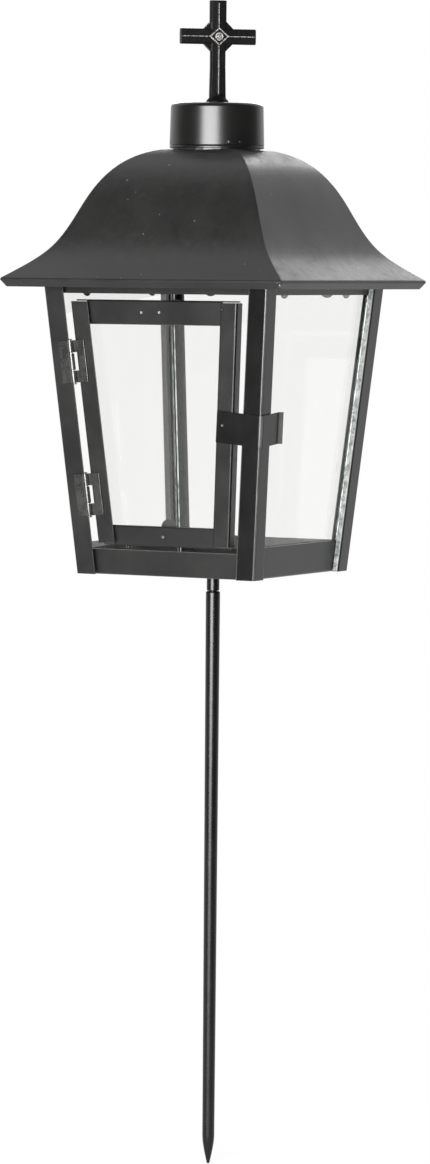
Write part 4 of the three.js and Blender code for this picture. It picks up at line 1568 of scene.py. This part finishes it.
@dataclass
class Hinges:
    """Two butt hinges, whose leaves are curled round their pins."""

    finishes: Finishes
    form: Form
    gap: float = 0.0037
    length: float = 0.021
    knuckle: float = 0.0082
    knuckle_gap: float = 0.0004
    radius: float = 0.0015
    sheet: float = 0.00075
    post_leaf: float = 0.007
    door_leaf: float = 0.0074
    leaf_slot: float = 0.002
    leaf_edge: float = 0.0003
    pin_radius: float = 0.0007
    pin_head_radius: float = 0.0013
    pin_head: float = 0.0005
    pin_rim: float = 0.5
    pin_dome: Pair = (0.75, 0.1)
    pin_edge: float = 0.0001
    pin_steps: int = 24
    lower: float = 0.0396
    upper: float = 0.1053
    curl: float = math.radians(275)
    curl_steps: int = 22

    def build(self) -> None:
        """Build both hinges in their frames on the hinge line."""
        middle = (-self.knuckle / 2, self.knuckle / 2)
        half = self.length / 2
        outer = ((-half, middle[0] - self.knuckle_gap), (middle[1] + self.knuckle_gap, half))
        gap = self.form.gap
        for name, level in (("lower", self.lower), ("upper", self.upper)):
            place = self._frame(level)
            room = self.radius + self.leaf_slot
            fixed = self._leaf(f"{name}_leaf_post", -1.0, self.post_leaf, (middle,), self.radius + gap)
            moving = self._leaf(f"{name}_leaf_door", 1.0, self.door_leaf, outer, room)
            fixed.put(place).fit("lantern", Slot.FRAME, self.finishes.hinge, f"hinge_{name}_post_leaf")
            moving.put(place).fit("door", Slot.FRAME, self.finishes.hinge, f"hinge_{name}_door_leaf")
            pin = self._pin(f"{name}_pin_turned").put(place)
            pin.fit("lantern", Slot.STEEL, self.finishes.steel, f"hinge_{name}_pin")

    def _frame(self, level: float) -> Matrix:
        """Find the frame on the hinge line: x along the wall, y inwards.

        Args:
            level: Level above the body's foot.

        Returns:
            The frame as a matrix.
        """
        form = self.form
        lean, half = form.lean, form.half(level)
        outwards = (self.radius + form.gap) * math.hypot(1.0, lean)
        place = Vector((form.post_face + self.gap / 2 - half, -half - outwards, form.foot + level))
        return leaning_frame(place, Vector((-lean, -lean, 1.0)), lean)

    def _leaf(
        self, name: str, side: float, width: float, knuckles: Sequence[Pair], room: float
    ) -> Workpiece:
        """Curl a leaf round the hinge line.

        Args:
            name: Name of the piece.
            side: -1 for a leaf to the left of the line, 1 for one to its right.
            width: Reach of the leaf from the line.
            knuckles: Lowest and highest level of each of its knuckles.
            room: Distance from the line that is left free beside the knuckles.

        Returns:
            The leaf.
        """
        half = self.length / 2
        levels = sorted({-half, half, *(level for span in knuckles for level in span)})
        leaf = Workpiece(name).draw([Vector((side * width, self.radius, level)) for level in levels])
        leaf.sweep(Vector((side * (room - width), 0.0, 0.0)))
        leaf.pick(
            lambda middle, way: abs(way.z) > FOLLOWS
            and abs(middle.x - side * room) < HAIR
            and any(low < middle.z < high for low, high in knuckles)
        )
        path = [Vector((side * room, self.radius, 0.0))]
        for step in range(self.curl_steps + 1):
            turn = QUARTER + self.curl * step / self.curl_steps
            path.append(Vector((side * math.cos(turn), math.sin(turn), 0.0)) * self.radius)
        leaf.draw_out([end - start for start, end in zip(path, path[1:])])
        leaf.face_towards(Vector((side * width, self.radius, 0.0)), INWARDS)
        return leaf.thicken(self.sheet).finish(edge=self.leaf_edge)

    def _pin(self, name: str) -> Workpiece:
        """Turn a pin with two low round heads.

        Args:
            name: Name of the piece.

        Returns:
            The pin.
        """
        end = self.length / 2 + self.form.gap
        crown = end + self.pin_head
        half = [
            (self.pin_radius, end),
            (self.pin_head_radius, end),
            (self.pin_head_radius, end + self.pin_head * self.pin_rim),
            (self.pin_head_radius * self.pin_dome[0], crown - self.pin_head * self.pin_dome[1]),
            (0.0, crown),
        ]
        mirrored = [(radius, -level) for radius, level in reversed(half)]
        pin = Workpiece(name).lathe([*mirrored, *half], self.pin_steps)
        return pin.finish(edge=self.pin_edge)


@dataclass
class Roof:
    """The bell-shaped square roof with its folded eave, open mitres and round throat."""

    finishes: Finishes
    form: Form
    overhang: float = 0.0164
    drop: float = 0.0038
    tuck: float = 0.0027
    eave_bend: float = 0.0005
    eave_slope: float = math.radians(35.9)
    waist_half: float = 0.0504
    waist_rise: float = 0.0339
    waist_slope: float = math.radians(66.4)
    neck_half: float = 0.02
    neck_rise: float = 0.0647
    neck_slope: float = math.radians(10)
    flare_handles: Pair = (0.48, 0.465)
    crown_handles: Pair = (0.326, 0.409)
    throat_share: float = 0.75
    hip_bevel: float = 0.00072
    hip_steps: int = 3
    mitre: float = 0.0016
    bead_radius: float = 0.0009
    bead_inset: float = 0.00153
    bead_drop: float = 0.00171
    bead_stretch: float = 1.3
    throat_radius: float = 0.0222
    throat_steps: int = 96
    edge: float = 0.0001
    crease: float = math.radians(28)
    steps: int = 26

    @property
    def eave_level(self) -> float:
        """Return the eave's level above the body's foot."""
        return self.form.height + self.drop

    def profile(self) -> list[Pair]:
        """Draw the roof's outer face as half of its side and its height.

        Returns:
            The points from the tuck under the eave up to the throat.
        """
        base = self.form.foot + self.eave_level
        eave = Vector((self.form.head_half + self.overhang, base))
        waist = Vector((self.waist_half, base + self.waist_rise))
        neck = Vector((self.neck_half, base + self.neck_rise))
        flare = self._curve(eave, self.eave_slope, waist, self.waist_slope, self.flare_handles)
        crown = self._curve(waist, self.waist_slope, neck, self.neck_slope, self.crown_handles)
        tucked = (eave.x - self.tuck, eave.y - self.drop)
        radius = self.eave_bend + self.form.sheet
        bend = rounded_corner(tucked, tuple(eave), flare[2], radius, BEND_STEPS)
        throat = (self.neck_half * self.throat_share, neck.y)
        return [tucked, *bend, *flare[2:], *crown[1:], throat]

    def _curve(
        self, low: Vector, low_slope: float, high: Vector, high_slope: float, handles: Pair
    ) -> list[Pair]:
        """Draw one of the roof's two curves, which meet at its waist.

        Args:
            low: Its lower end.
            low_slope: Slope there.
            high: Its upper end.
            high_slope: Slope there.
            handles: Length of each end's handle, as a share of the chord.

        Returns:
            The points from the lower end to the upper one.
        """
        chord = (low - high).length

        def handle(point: Vector, slope: float, share: float) -> Vector:
            """Return a point that is a share of the chord further up the slope."""
            return point + Vector((-math.cos(slope), math.sin(slope))) * (share * chord)

        first, last = handle(low, low_slope, handles[0]), handle(high, high_slope, -handles[1])
        return bezier((low, first, last, high), self.steps)

    def build(self) -> None:
        """Draw the roof in its square plan, round its hips and open its mitres and throat."""
        profile = [(half * math.sqrt(2), height) for half, height in self.profile()]
        roof = Workpiece("roof_sheet").lathe(profile, len(CORNERS), turn=QUARTER / 2)
        corners = range(len(CORNERS))
        diagonal = [quarter_turn(count) @ Vector((1.0, 1.0, 0.0)).normalized() for count in corners]
        roof.pick(
            lambda middle, way: abs(way.z) > HAIR
            and min((middle.xy.normalized() - spoke.xy).length for spoke in diagonal) < SAME_WAY
        )
        roof.bevel(self.hip_bevel, self.hip_steps)
        roof.thicken(self.form.sheet)
        roof.cut(self._throat(), *(self._mitre(count) for count in corners))
        # The weld bead takes the bend paint: paint wear and a painted highlight.
        roof.dress(self.finishes.roof, self.finishes.bend).join(self._bead())
        roof.finish(edge=self.edge, crease=self.crease)
        roof.fit("lantern", Slot.ROOF, self.finishes.roof, "roof")
        dress_nodes(self.finishes.roof, "chimney_collar")

    def _bead(self) -> Workpiece:
        """Make the drop of weld that closes the fold at the front right corner."""
        out = self.form.head_half + self.overhang - self.bead_inset
        centre = Vector((out, -out, self.form.foot + self.eave_level - self.bead_drop))
        stretch = Vector((1.0, 1.0, self.bead_stretch))
        bead = Workpiece.ball("weld_bead", centre, self.bead_radius, stretch)
        return bead.dress_with_glint(self.finishes.roof, self.finishes.bend)

    def _throat(self) -> Workpiece:
        """Make the round tool that opens the throat."""
        base = self.form.foot + self.eave_level + self.neck_rise
        low, high = base - self.neck_rise / 2, base + self.neck_rise / 2
        return Workpiece("throat_tool").lathe(cylinder(self.throat_radius, low, high), self.throat_steps)

    def _mitre(self, count: int) -> Workpiece:
        """Make the tool that opens the eave's fold at one corner.

        Args:
            count: Number of the corner.

        Returns:
            The tool.
        """
        reach = self.tuck + self.drop
        corner = (self.form.head_half + self.overhang) * math.sqrt(2)
        low = self.form.foot + self.eave_level - 2 * self.drop
        high = self.form.foot + self.eave_level - self.form.sheet
        near, far, half = corner - 2 * reach, corner + reach, self.mitre / 2
        corners = ((near, -half), (far, -half), (far, half), (near, half))
        outline = [Vector((x, y, low)) for x, y in corners]
        tool = Workpiece("mitre_tool").plate(outline, UP * (high - low))
        return tool.put(Matrix.Rotation(QUARTER / 2 + count * QUARTER, 4, "Z"))


@dataclass
class Cap:
    """The spun cap with its rim bead and punched dimples.

    The rounded rim's points are its depth and level, in depths of the groove above it.
    """

    finishes: Finishes
    form: Form
    radius: float = 0.0236
    taper: float = 0.0005
    height: float = 0.0224
    edge_radius: float = 0.0022
    edge_steps: int = 12
    sheet: float = 0.0006
    hem: float = 0.0011
    groove: float = 0.00025
    groove_width: float = 0.0005
    rim: tuple[Pair, ...] = ((1.0, 0.0), (0.3, 0.4), (0.0, 1.2))
    hole: float = 0.0018
    dent_radius: float = 0.0009
    dent_depth: float = 0.00045
    dimple_level: float = 0.0029
    dimple_turn: float = math.radians(42.2)
    dimples: int = 4
    steps: int = 128

    def build(self) -> None:
        """Spin the cap, press its dimples and dress the nut inside."""
        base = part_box("cap")[0].z
        wall = [
            *((self.radius - self.groove * depth, self.groove * level) for depth, level in self.rim),
            (self.radius, self.hem - self.groove),
            (self.radius - self.groove, self.hem + self.groove_width / 2),
            (self.radius, self.hem + self.groove_width),
        ]
        shoulder = Vector((self.radius - self.taper - self.edge_radius, self.height - self.edge_radius))
        edge = []
        for step in range(self.edge_steps + 1):
            turn = QUARTER * step / self.edge_steps
            edge.append(tuple(shoulder + Vector((math.cos(turn), math.sin(turn))) * self.edge_radius))
        path = [(radius, base + level) for radius, level in [*wall, *edge, (self.hole, self.height)]]
        cap = Workpiece("cap_shell").lathe(path, self.steps).thicken(self.sheet)
        cap.dress(self.finishes.cap, self.finishes.bend)
        # The dimples take the bend paint: paint wear and a painted highlight in each.
        cap.cut(*(self._dent(base, number) for number in range(self.dimples)))
        cap.finish(edge=0.0)
        cap.fit("cap", Slot.CAP, self.finishes.cap, "cap")
        dress_nodes(self.finishes.steel, "cross_nut")

    def _dent(self, base: float, number: int) -> Workpiece:
        """Make the ball that presses one dimple.

        Args:
            base: Level of the cap's foot.
            number: Number of the dimple.

        Returns:
            The ball.
        """
        turn = self.dimple_turn + math.tau * number / self.dimples
        out = self.radius + self.dent_radius - self.dent_depth
        centre = Matrix.Rotation(turn, 4, "Z") @ Vector((0.0, -out, base + self.dimple_level))
        dent = Workpiece.ball("dimple_tool", centre, self.dent_radius)
        return dent.dress_with_glint(self.finishes.cap, self.finishes.bend)


@dataclass
class Cross:
    """The cast cross: ridged bars, a beaded lozenge with a rosette, and a flared foot.

    ``wear_and_glint`` tells how proud of the lozenge, and how far down a rib, the paint shows
    wear and a painted highlight, in radii of a rib. The ribs' ends are shares of the foot's
    height and of the span, the rosette's rings are a share of its radius and a rise, and the
    foot's flare is made of shares of its widths and height.
    """

    finishes: Finishes
    height: float = 0.0507
    span: float = 0.0383
    arm_level: float = 0.0328
    arm_height: float = 0.0077
    stem_width: float = 0.0083
    waist_width: float = 0.0076
    waist_level: float = 0.018
    web: float = 0.0034
    web_share: float = 0.7
    thickness: float = 0.0054
    flat: float = 0.0040
    edge: float = 0.0038
    side: float = 0.0022
    chamfer: float = 0.0006
    rib_radius: float = 0.00033
    rib_steps: int = 10
    rib_foot: float = 0.8
    rib_trim: float = 1.1
    rib_span: float = 0.96
    wear_and_glint: Pair = (0.6, 0.3)
    lozenge: Pair = (0.0098, 0.0088)
    lozenge_raise: float = 0.00035
    bead_radius: float = 0.0005
    bead_inset: float = 0.93
    beads_per_edge: int = 6
    rosette_radius: float = 0.0022
    rosette_raise: float = 0.0009
    rosette_rings: tuple[Pair, ...] = (
        (1.0, -0.0005),
        (0.86, -0.0001),
        (0.66, -0.0001),
        (0.5, -0.0006),
        (0.36, 0.0),
        (0.0, 0.0001),
    )
    rosette_steps: int = 32
    foot_width: float = 0.0113
    foot_depth: float = 0.0084
    foot_height: float = 0.0042
    foot_brim: float = 0.12
    foot_neck: float = 0.8
    foot_flare: tuple[Pair, Pair] = ((0.99, 0.42), (1.12, 0.55))
    foot_steps: int = 40
    flare_steps: int = 10
    turn: float = math.radians(43)
    stud_radius: float = 0.0015
    stud_steps: int = 24
    voxel: float = 0.00017
    crease: float = math.radians(60)

    def build(self) -> None:
        """Build the casting's pattern and melt it into one skin."""
        stem = self._stem()
        low, top = (corner.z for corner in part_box("cross"))
        base = top - self.height
        parts = [
            self._arms(),
            self._web(),
            self._lozenge(),
            *self._beads(),
            *self._rosettes(),
            *self._ribs(),
            self._foot(base - low),
        ]
        cross = stem.join(*parts)
        cross.modify("REMESH", mode="VOXEL", voxel_size=self.voxel, adaptivity=0.0)
        cross.modify("SMOOTH", factor=0.5, iterations=3)
        cross.dress(self.finishes.cross, self.finishes.cross_ridge_glint)
        # The proud faces take the patchy pale paint: paint wear and a painted highlight.
        cross.tint(1, self._on_ridge).finish(edge=0.0, crease=self.crease)
        place = Matrix.Rotation(self.turn, 4, "Z")
        place.translation = Vector((0.0, 0.0, base))
        cross.put(place)
        cross.fit("cap", Slot.CROSS, self.finishes.cross, "cross")

    @property
    def _front(self) -> float:
        """Return the depth of the lozenge's faces."""
        return self.thickness / 2 + self.lozenge_raise

    @property
    def _lozenge_corners(self) -> list[Pair]:
        """Return the lozenge's corners, as place across and level from the arms' middle."""
        half_span, half_height = self.lozenge[0] / 2, self.lozenge[1] / 2
        return [(half_span, 0.0), (0.0, half_height), (-half_span, 0.0), (0.0, -half_height)]

    def _section(self, half: float) -> list[Pair]:
        """Return a bar's ten-sided section.

        Args:
            half: Half of the bar's width.

        Returns:
            Its corners, as place across and depth.
        """
        edge, side = self.edge / 2, self.side / 2
        shoulder = half - self.chamfer
        right = [(shoulder, -edge), (half, -side), (half, side), (shoulder, edge)]
        left = [(-across, -depth) for across, depth in right]
        return [*right, (0.0, self.flat / 2), *left, (0.0, -self.flat / 2)]

    def _on_ridge(self, middle: Vector, normal: Vector) -> bool:
        """Tell whether a face of the casting stands proud enough for paint wear and a painted highlight.

        Args:
            middle: The face's middle.
            normal: The face's normal; not used.

        Returns:
            Whether it does.
        """
        depth = abs(middle.y)
        if abs(middle.x) + abs(middle.z - self.arm_level) < self.lozenge[0] / 2:
            return depth > self._front + self.rib_radius * self.wear_and_glint[0]
        glinting = self.thickness / 2 - self.rib_radius * self.wear_and_glint[1]
        return middle.z > self.foot_height and depth > glinting

    def _ribs(self) -> list[Workpiece]:
        """Make the thin round ribs along the middle of the bars, on both faces."""
        radius, depth = self.rib_radius, self.thickness / 2 - self.rib_radius
        turns = [math.tau * step / self.rib_steps for step in range(self.rib_steps)]
        ring = [(radius * math.cos(turn), radius * math.sin(turn)) for turn in turns]
        foot, start = self.foot_height * self.rib_foot, -self.span * self.rib_span / 2
        length = self.height - self.foot_height * self.rib_trim
        ribs = []
        for face in (-1.0, 1.0):
            upright = [Vector((across, face * depth + out, foot)) for across, out in ring]
            level = [Vector((start, face * depth + out, self.arm_level + across)) for across, out in ring]
            ribs.append(Workpiece("rib").plate(upright, UP * length))
            ribs.append(Workpiece("rib").plate(level, ALONG * self.span * self.rib_span))
        return ribs

    def _stem(self) -> Workpiece:
        """Draw the stem up, narrower at its waist."""
        wide, narrow = self.stem_width / 2, self.waist_width / 2
        stem = Workpiece("cross_casting")
        stem.draw([Vector((x, y, 0.0)) for x, y in self._section(wide)], closed=True)
        levels = (
            (self.waist_level, narrow),
            (self.arm_level, narrow),
            (self.arm_level + self.arm_height, wide),
            (self.height, wide),
        )
        past, before = 0.0, wide
        with stem.edit(Element.FACE):
            for level, half in levels:
                bpy.ops.mesh.extrude_region_move(TRANSFORM_OT_translate={"value": UP * (level - past)})
                width = (half / before, 1.0, 1.0)
                bpy.ops.transform.resize(value=width, center_override=(0.0, 0.0, level))
                past, before = level, half
        return stem.face_out()

    def _arms(self) -> Workpiece:
        """Draw the cross bar along its span."""
        outline = [
            Vector((-self.span / 2, depth, self.arm_level + across))
            for across, depth in self._section(self.arm_height / 2)
        ]
        return Workpiece("arms").plate(outline, ALONG * self.span)

    def _web(self) -> Workpiece:
        """Make the thinner plate behind the bars, whose slanting corners join them."""
        inner, low = self.waist_width / 2, self.arm_level - self.arm_height / 2
        outer, high = self.stem_width / 2, self.arm_level + self.arm_height / 2
        leg = self.web
        right = [(inner, low - leg), (inner + leg, low), (outer + leg, high), (outer, high + leg)]
        corners = [*right, *((-x, level) for x, level in reversed(right))]
        depth = self.side * self.web_share
        outline = [Vector((x, -depth, level)) for x, level in corners]
        return Workpiece("web").plate(outline, INWARDS * (2 * depth))

    def _lozenge(self) -> Workpiece:
        """Make the raised lozenge at the crossing."""
        outline = [Vector((x, -self._front, self.arm_level + z)) for x, z in self._lozenge_corners]
        return Workpiece("lozenge").plate(outline, INWARDS * (2 * self._front))

    def _beads(self) -> list[Workpiece]:
        """Make the beads along the lozenge's edges, on both faces."""
        corners = self._lozenge_corners
        beads = []
        for start, end in zip(corners, corners[1:] + corners[:1]):
            for number in range(self.beads_per_edge):
                share = number / self.beads_per_edge
                x, z = ((a + (b - a) * share) * self.bead_inset for a, b in zip(start, end))
                for face in (-1.0, 1.0):
                    centre = Vector((x, face * self._front, self.arm_level + z))
                    beads.append(Workpiece.ball("bead", centre, self.bead_radius))
        return beads

    def _rosettes(self) -> list[Workpiece]:
        """Turn the round boss on each face of the crossing."""
        depth = self.thickness / 2 + self.rosette_raise
        radius = self.rosette_radius
        rings = [(radius * share, depth + rise) for share, rise in self.rosette_rings]
        profile = [(0.0, 0.0), (radius, 0.0), *rings]
        rosettes = []
        for face in (-1.0, 1.0):
            place = Matrix.Rotation(face * QUARTER, 4, "X")
            place.translation = Vector((0.0, 0.0, self.arm_level))
            rosettes.append(Workpiece("rosette").lathe(profile, self.rosette_steps).put(place))
        return rosettes

    def _foot(self, stud: float) -> Workpiece:
        """Turn the flared foot, oval in plan, with the stud under it.

        Args:
            stud: Length of the stud.

        Returns:
            The foot.
        """
        wide, narrow = self.foot_width / 2, self.stem_width / 2 * self.foot_neck
        height = self.foot_height
        (low_out, low_up), (high_out, high_up) = self.foot_flare
        flare = bezier(
            (
                (wide, height * self.foot_brim),
                (wide * low_out, height * low_up),
                (narrow * high_out, height * high_up),
                (narrow, height),
            ),
            self.flare_steps,
        )
        foot = Workpiece("foot").lathe([(0.0, 0.0), (wide, 0.0), *flare, (0.0, height)], self.foot_steps)
        foot.put(Matrix.Diagonal((1.0, self.foot_depth / self.foot_width, 1.0, 1.0)))
        profile = cylinder(self.stud_radius, -stud, height)
        return foot.join(Workpiece("stud").lathe(profile, self.stud_steps))


# Studio


@dataclass(frozen=True)
class Softbox:
    """A soft lamp that looks at the lantern's middle."""

    name: str
    azimuth: float
    elevation: float
    distance: float
    width: float
    height: float
    power: float

    def hang(self, target: Vector) -> None:
        """Put the lamp in its place.

        Args:
            target: The point that it looks at.
        """
        azimuth, elevation = math.radians(self.azimuth), math.radians(self.elevation)
        away = Vector((
            math.sin(azimuth) * math.cos(elevation),
            -math.cos(azimuth) * math.cos(elevation),
            math.sin(elevation),
        ))
        lamp = bpy.data.lights.new(self.name, "AREA")
        lamp.shape = "RECTANGLE"
        lamp.size, lamp.size_y = self.width, self.height
        lamp.energy = self.power
        holder = bpy.data.objects.new(self.name, lamp)
        holder.location = target + away * self.distance
        holder.rotation_euler = (-away).to_track_quat("-Z", "Y").to_euler()
        holder.visible_camera = False
        holder.visible_transmission = False
        bpy.context.scene.collection.objects.link(holder)


@dataclass
class Studio:
    """The pale floor, the white surroundings, the soft lamps and the camera.

    The floor runs out to white between the distances of ``floor_run``, and gloss sees its
    lit side begin and end at those of ``floor_lit``, along the way to the backdrop.
    """

    target_height: float = 0.3
    floor_radius: float = 12.0
    floor_steps: int = 96
    floor_grain: float = 60.0
    floor_tones: tuple[Colour, Colour] = (grey(0.84), grey(0.88))
    floor_roughness: float = 0.7
    floor_white: float = 0.78
    floor_run: Pair = (0.04, 0.35)
    floor_lit: Pair = (-1.2, 0.4)
    camera_azimuth: float = math.radians(28.70)
    camera_distance: float = 2.38
    camera_height: float = 0.4537
    camera_pitch: float = math.radians(3.83)
    camera_roll: float = math.radians(0.5)
    lens: float = 147.2
    sensor: float = 36.0
    photo_height: float = 1164.0
    offset: float = 1.91
    lamps: tuple[Softbox, ...] = (
        Softbox("key", azimuth=12.0, elevation=4.0, distance=1.7, width=1.2, height=0.72, power=74.0),
        Softbox("back", azimuth=205.0, elevation=25.0, distance=1.9, width=1.0, height=0.5, power=18.0),
    )
    ambient: float = 0.4
    room: float = 0.1
    backdrop_azimuth: float = math.radians(213)
    backdrop_rise: float = math.radians(28)
    backdrop_edges: Pair = (math.radians(76), math.radians(54))

    def build(self) -> None:
        """Lay the floor, light the object and set the camera."""
        self._floor()
        self._surroundings()
        for lamp in self.lamps:
            lamp.hang(UP * self.target_height)
        self._camera()

    def _backdrop_way(self, rise: float) -> Vector:
        """Return the way from the object to the lit backdrop behind it.

        Args:
            rise: Elevation of the way.

        Returns:
            The way, as a unit vector.
        """
        level = Vector((math.sin(self.backdrop_azimuth), -math.cos(self.backdrop_azimuth), 0.0))
        return level * math.cos(rise) + UP * math.sin(rise)

    def _floor(self) -> None:
        """Lay a round floor, whose colour runs out to the white surroundings."""
        clear_selection()
        bpy.ops.mesh.primitive_circle_add(
            vertices=self.floor_steps, radius=self.floor_radius, fill_type="NGON"
        )
        floor = bpy.context.object
        floor.name = "studio_floor"
        tree = ShaderTree.paint("pale_floor")
        place = tree.place()
        away = tree.add("ShaderNodeVectorMath", {"operation": "LENGTH"}, {0: place}, "Value")
        grain = tree.noise(place, self.floor_grain, detail=3.0)
        plain = tree.principled(
            Base_Color=tree.mix(grain, *self.floor_tones), Roughness=self.floor_roughness
        )
        seen, mirrored = self._rays(tree)
        shown = seen * (self.floor_white + away.ramp(*self.floor_run) * (1.0 - self.floor_white))
        lit = tree.along(place, self._backdrop_way(0.0)).ramp(*self.floor_lit)
        white, dark = (
            tree.add("ShaderNodeEmission", None, {"Color": grey(1.0), "Strength": strength})
            for strength in (1.0, self.room)
        )
        surface = tree.blend(shown + mirrored * lit, plain, white)
        floor.data.materials.append(tree.show(tree.blend(mirrored * (1.0 - lit), surface, dark)))

    def _rays(self, tree: ShaderTree) -> tuple[Signal, Signal]:
        """Tell the rays that see the room itself from those that see it in gloss.

        Args:
            tree: The tree that asks.

        Returns:
            1 for rays from the camera or through glass, and 1 for glossy rays.
        """
        seen = tree.light_path("Is Camera Ray", "Is Transmission Ray")
        return seen, tree.light_path("Is Glossy Ray") * (1.0 - seen)

    def _surroundings(self) -> None:
        """Make the surroundings white, except that gloss sees the unlit side of the room darker."""
        world = bpy.data.worlds.new("white_surroundings")
        bpy.context.scene.world = world
        tree = ShaderTree(world)
        direction = tree.add("ShaderNodeTexCoord", output="Generated")
        way = self._backdrop_way(self.backdrop_rise)
        wide, narrow = (math.cos(angle) for angle in self.backdrop_edges)
        backdrop = self.room + tree.along(direction, way).ramp(wide, narrow) * (1.0 - self.room)
        seen, mirrored = self._rays(tree)
        strength = seen + mirrored * backdrop + (1.0 - seen - mirrored) * self.ambient
        light = tree.add("ShaderNodeBackground", None, {"Color": grey(1.0), "Strength": strength})
        tree.show(light)

    def _camera(self) -> None:
        """Set the camera at the photograph's angle."""
        camera = bpy.data.cameras.new("camera")
        camera.lens = self.lens
        camera.sensor_width = self.sensor
        camera.shift_x = self.offset / self.photo_height
        holder = bpy.data.objects.new("camera", camera)
        away = Vector((math.sin(self.camera_azimuth), -math.cos(self.camera_azimuth), 0.0))
        holder.location = away * self.camera_distance + UP * self.camera_height
        turn = Matrix.Rotation(self.camera_azimuth, 4, "Z")
        pitch = Matrix.Rotation(QUARTER - self.camera_pitch, 4, "X")
        roll = Matrix.Rotation(self.camera_roll, 4, "Z")
        holder.rotation_euler = (turn @ pitch @ roll).to_euler()
        bpy.context.scene.collection.objects.link(holder)
        bpy.context.scene.camera = holder
        bpy.context.scene.view_settings.view_transform = "Standard"


def main() -> None:
    """Build the lantern's looks and its studio."""
    logging.basicConfig(level=logging.INFO, format="%(message)s")
    finishes = Finishes()
    form = Form()
    Spike(finishes, form).build()
    Body(finishes, form).build()
    Door(finishes, form).build()
    Hinges(finishes, form).build()
    Roof(finishes, form).build()
    Cap(finishes, form).build()
    Cross(finishes).build()
    Studio().build()


if __name__ == "__main__":
    main()
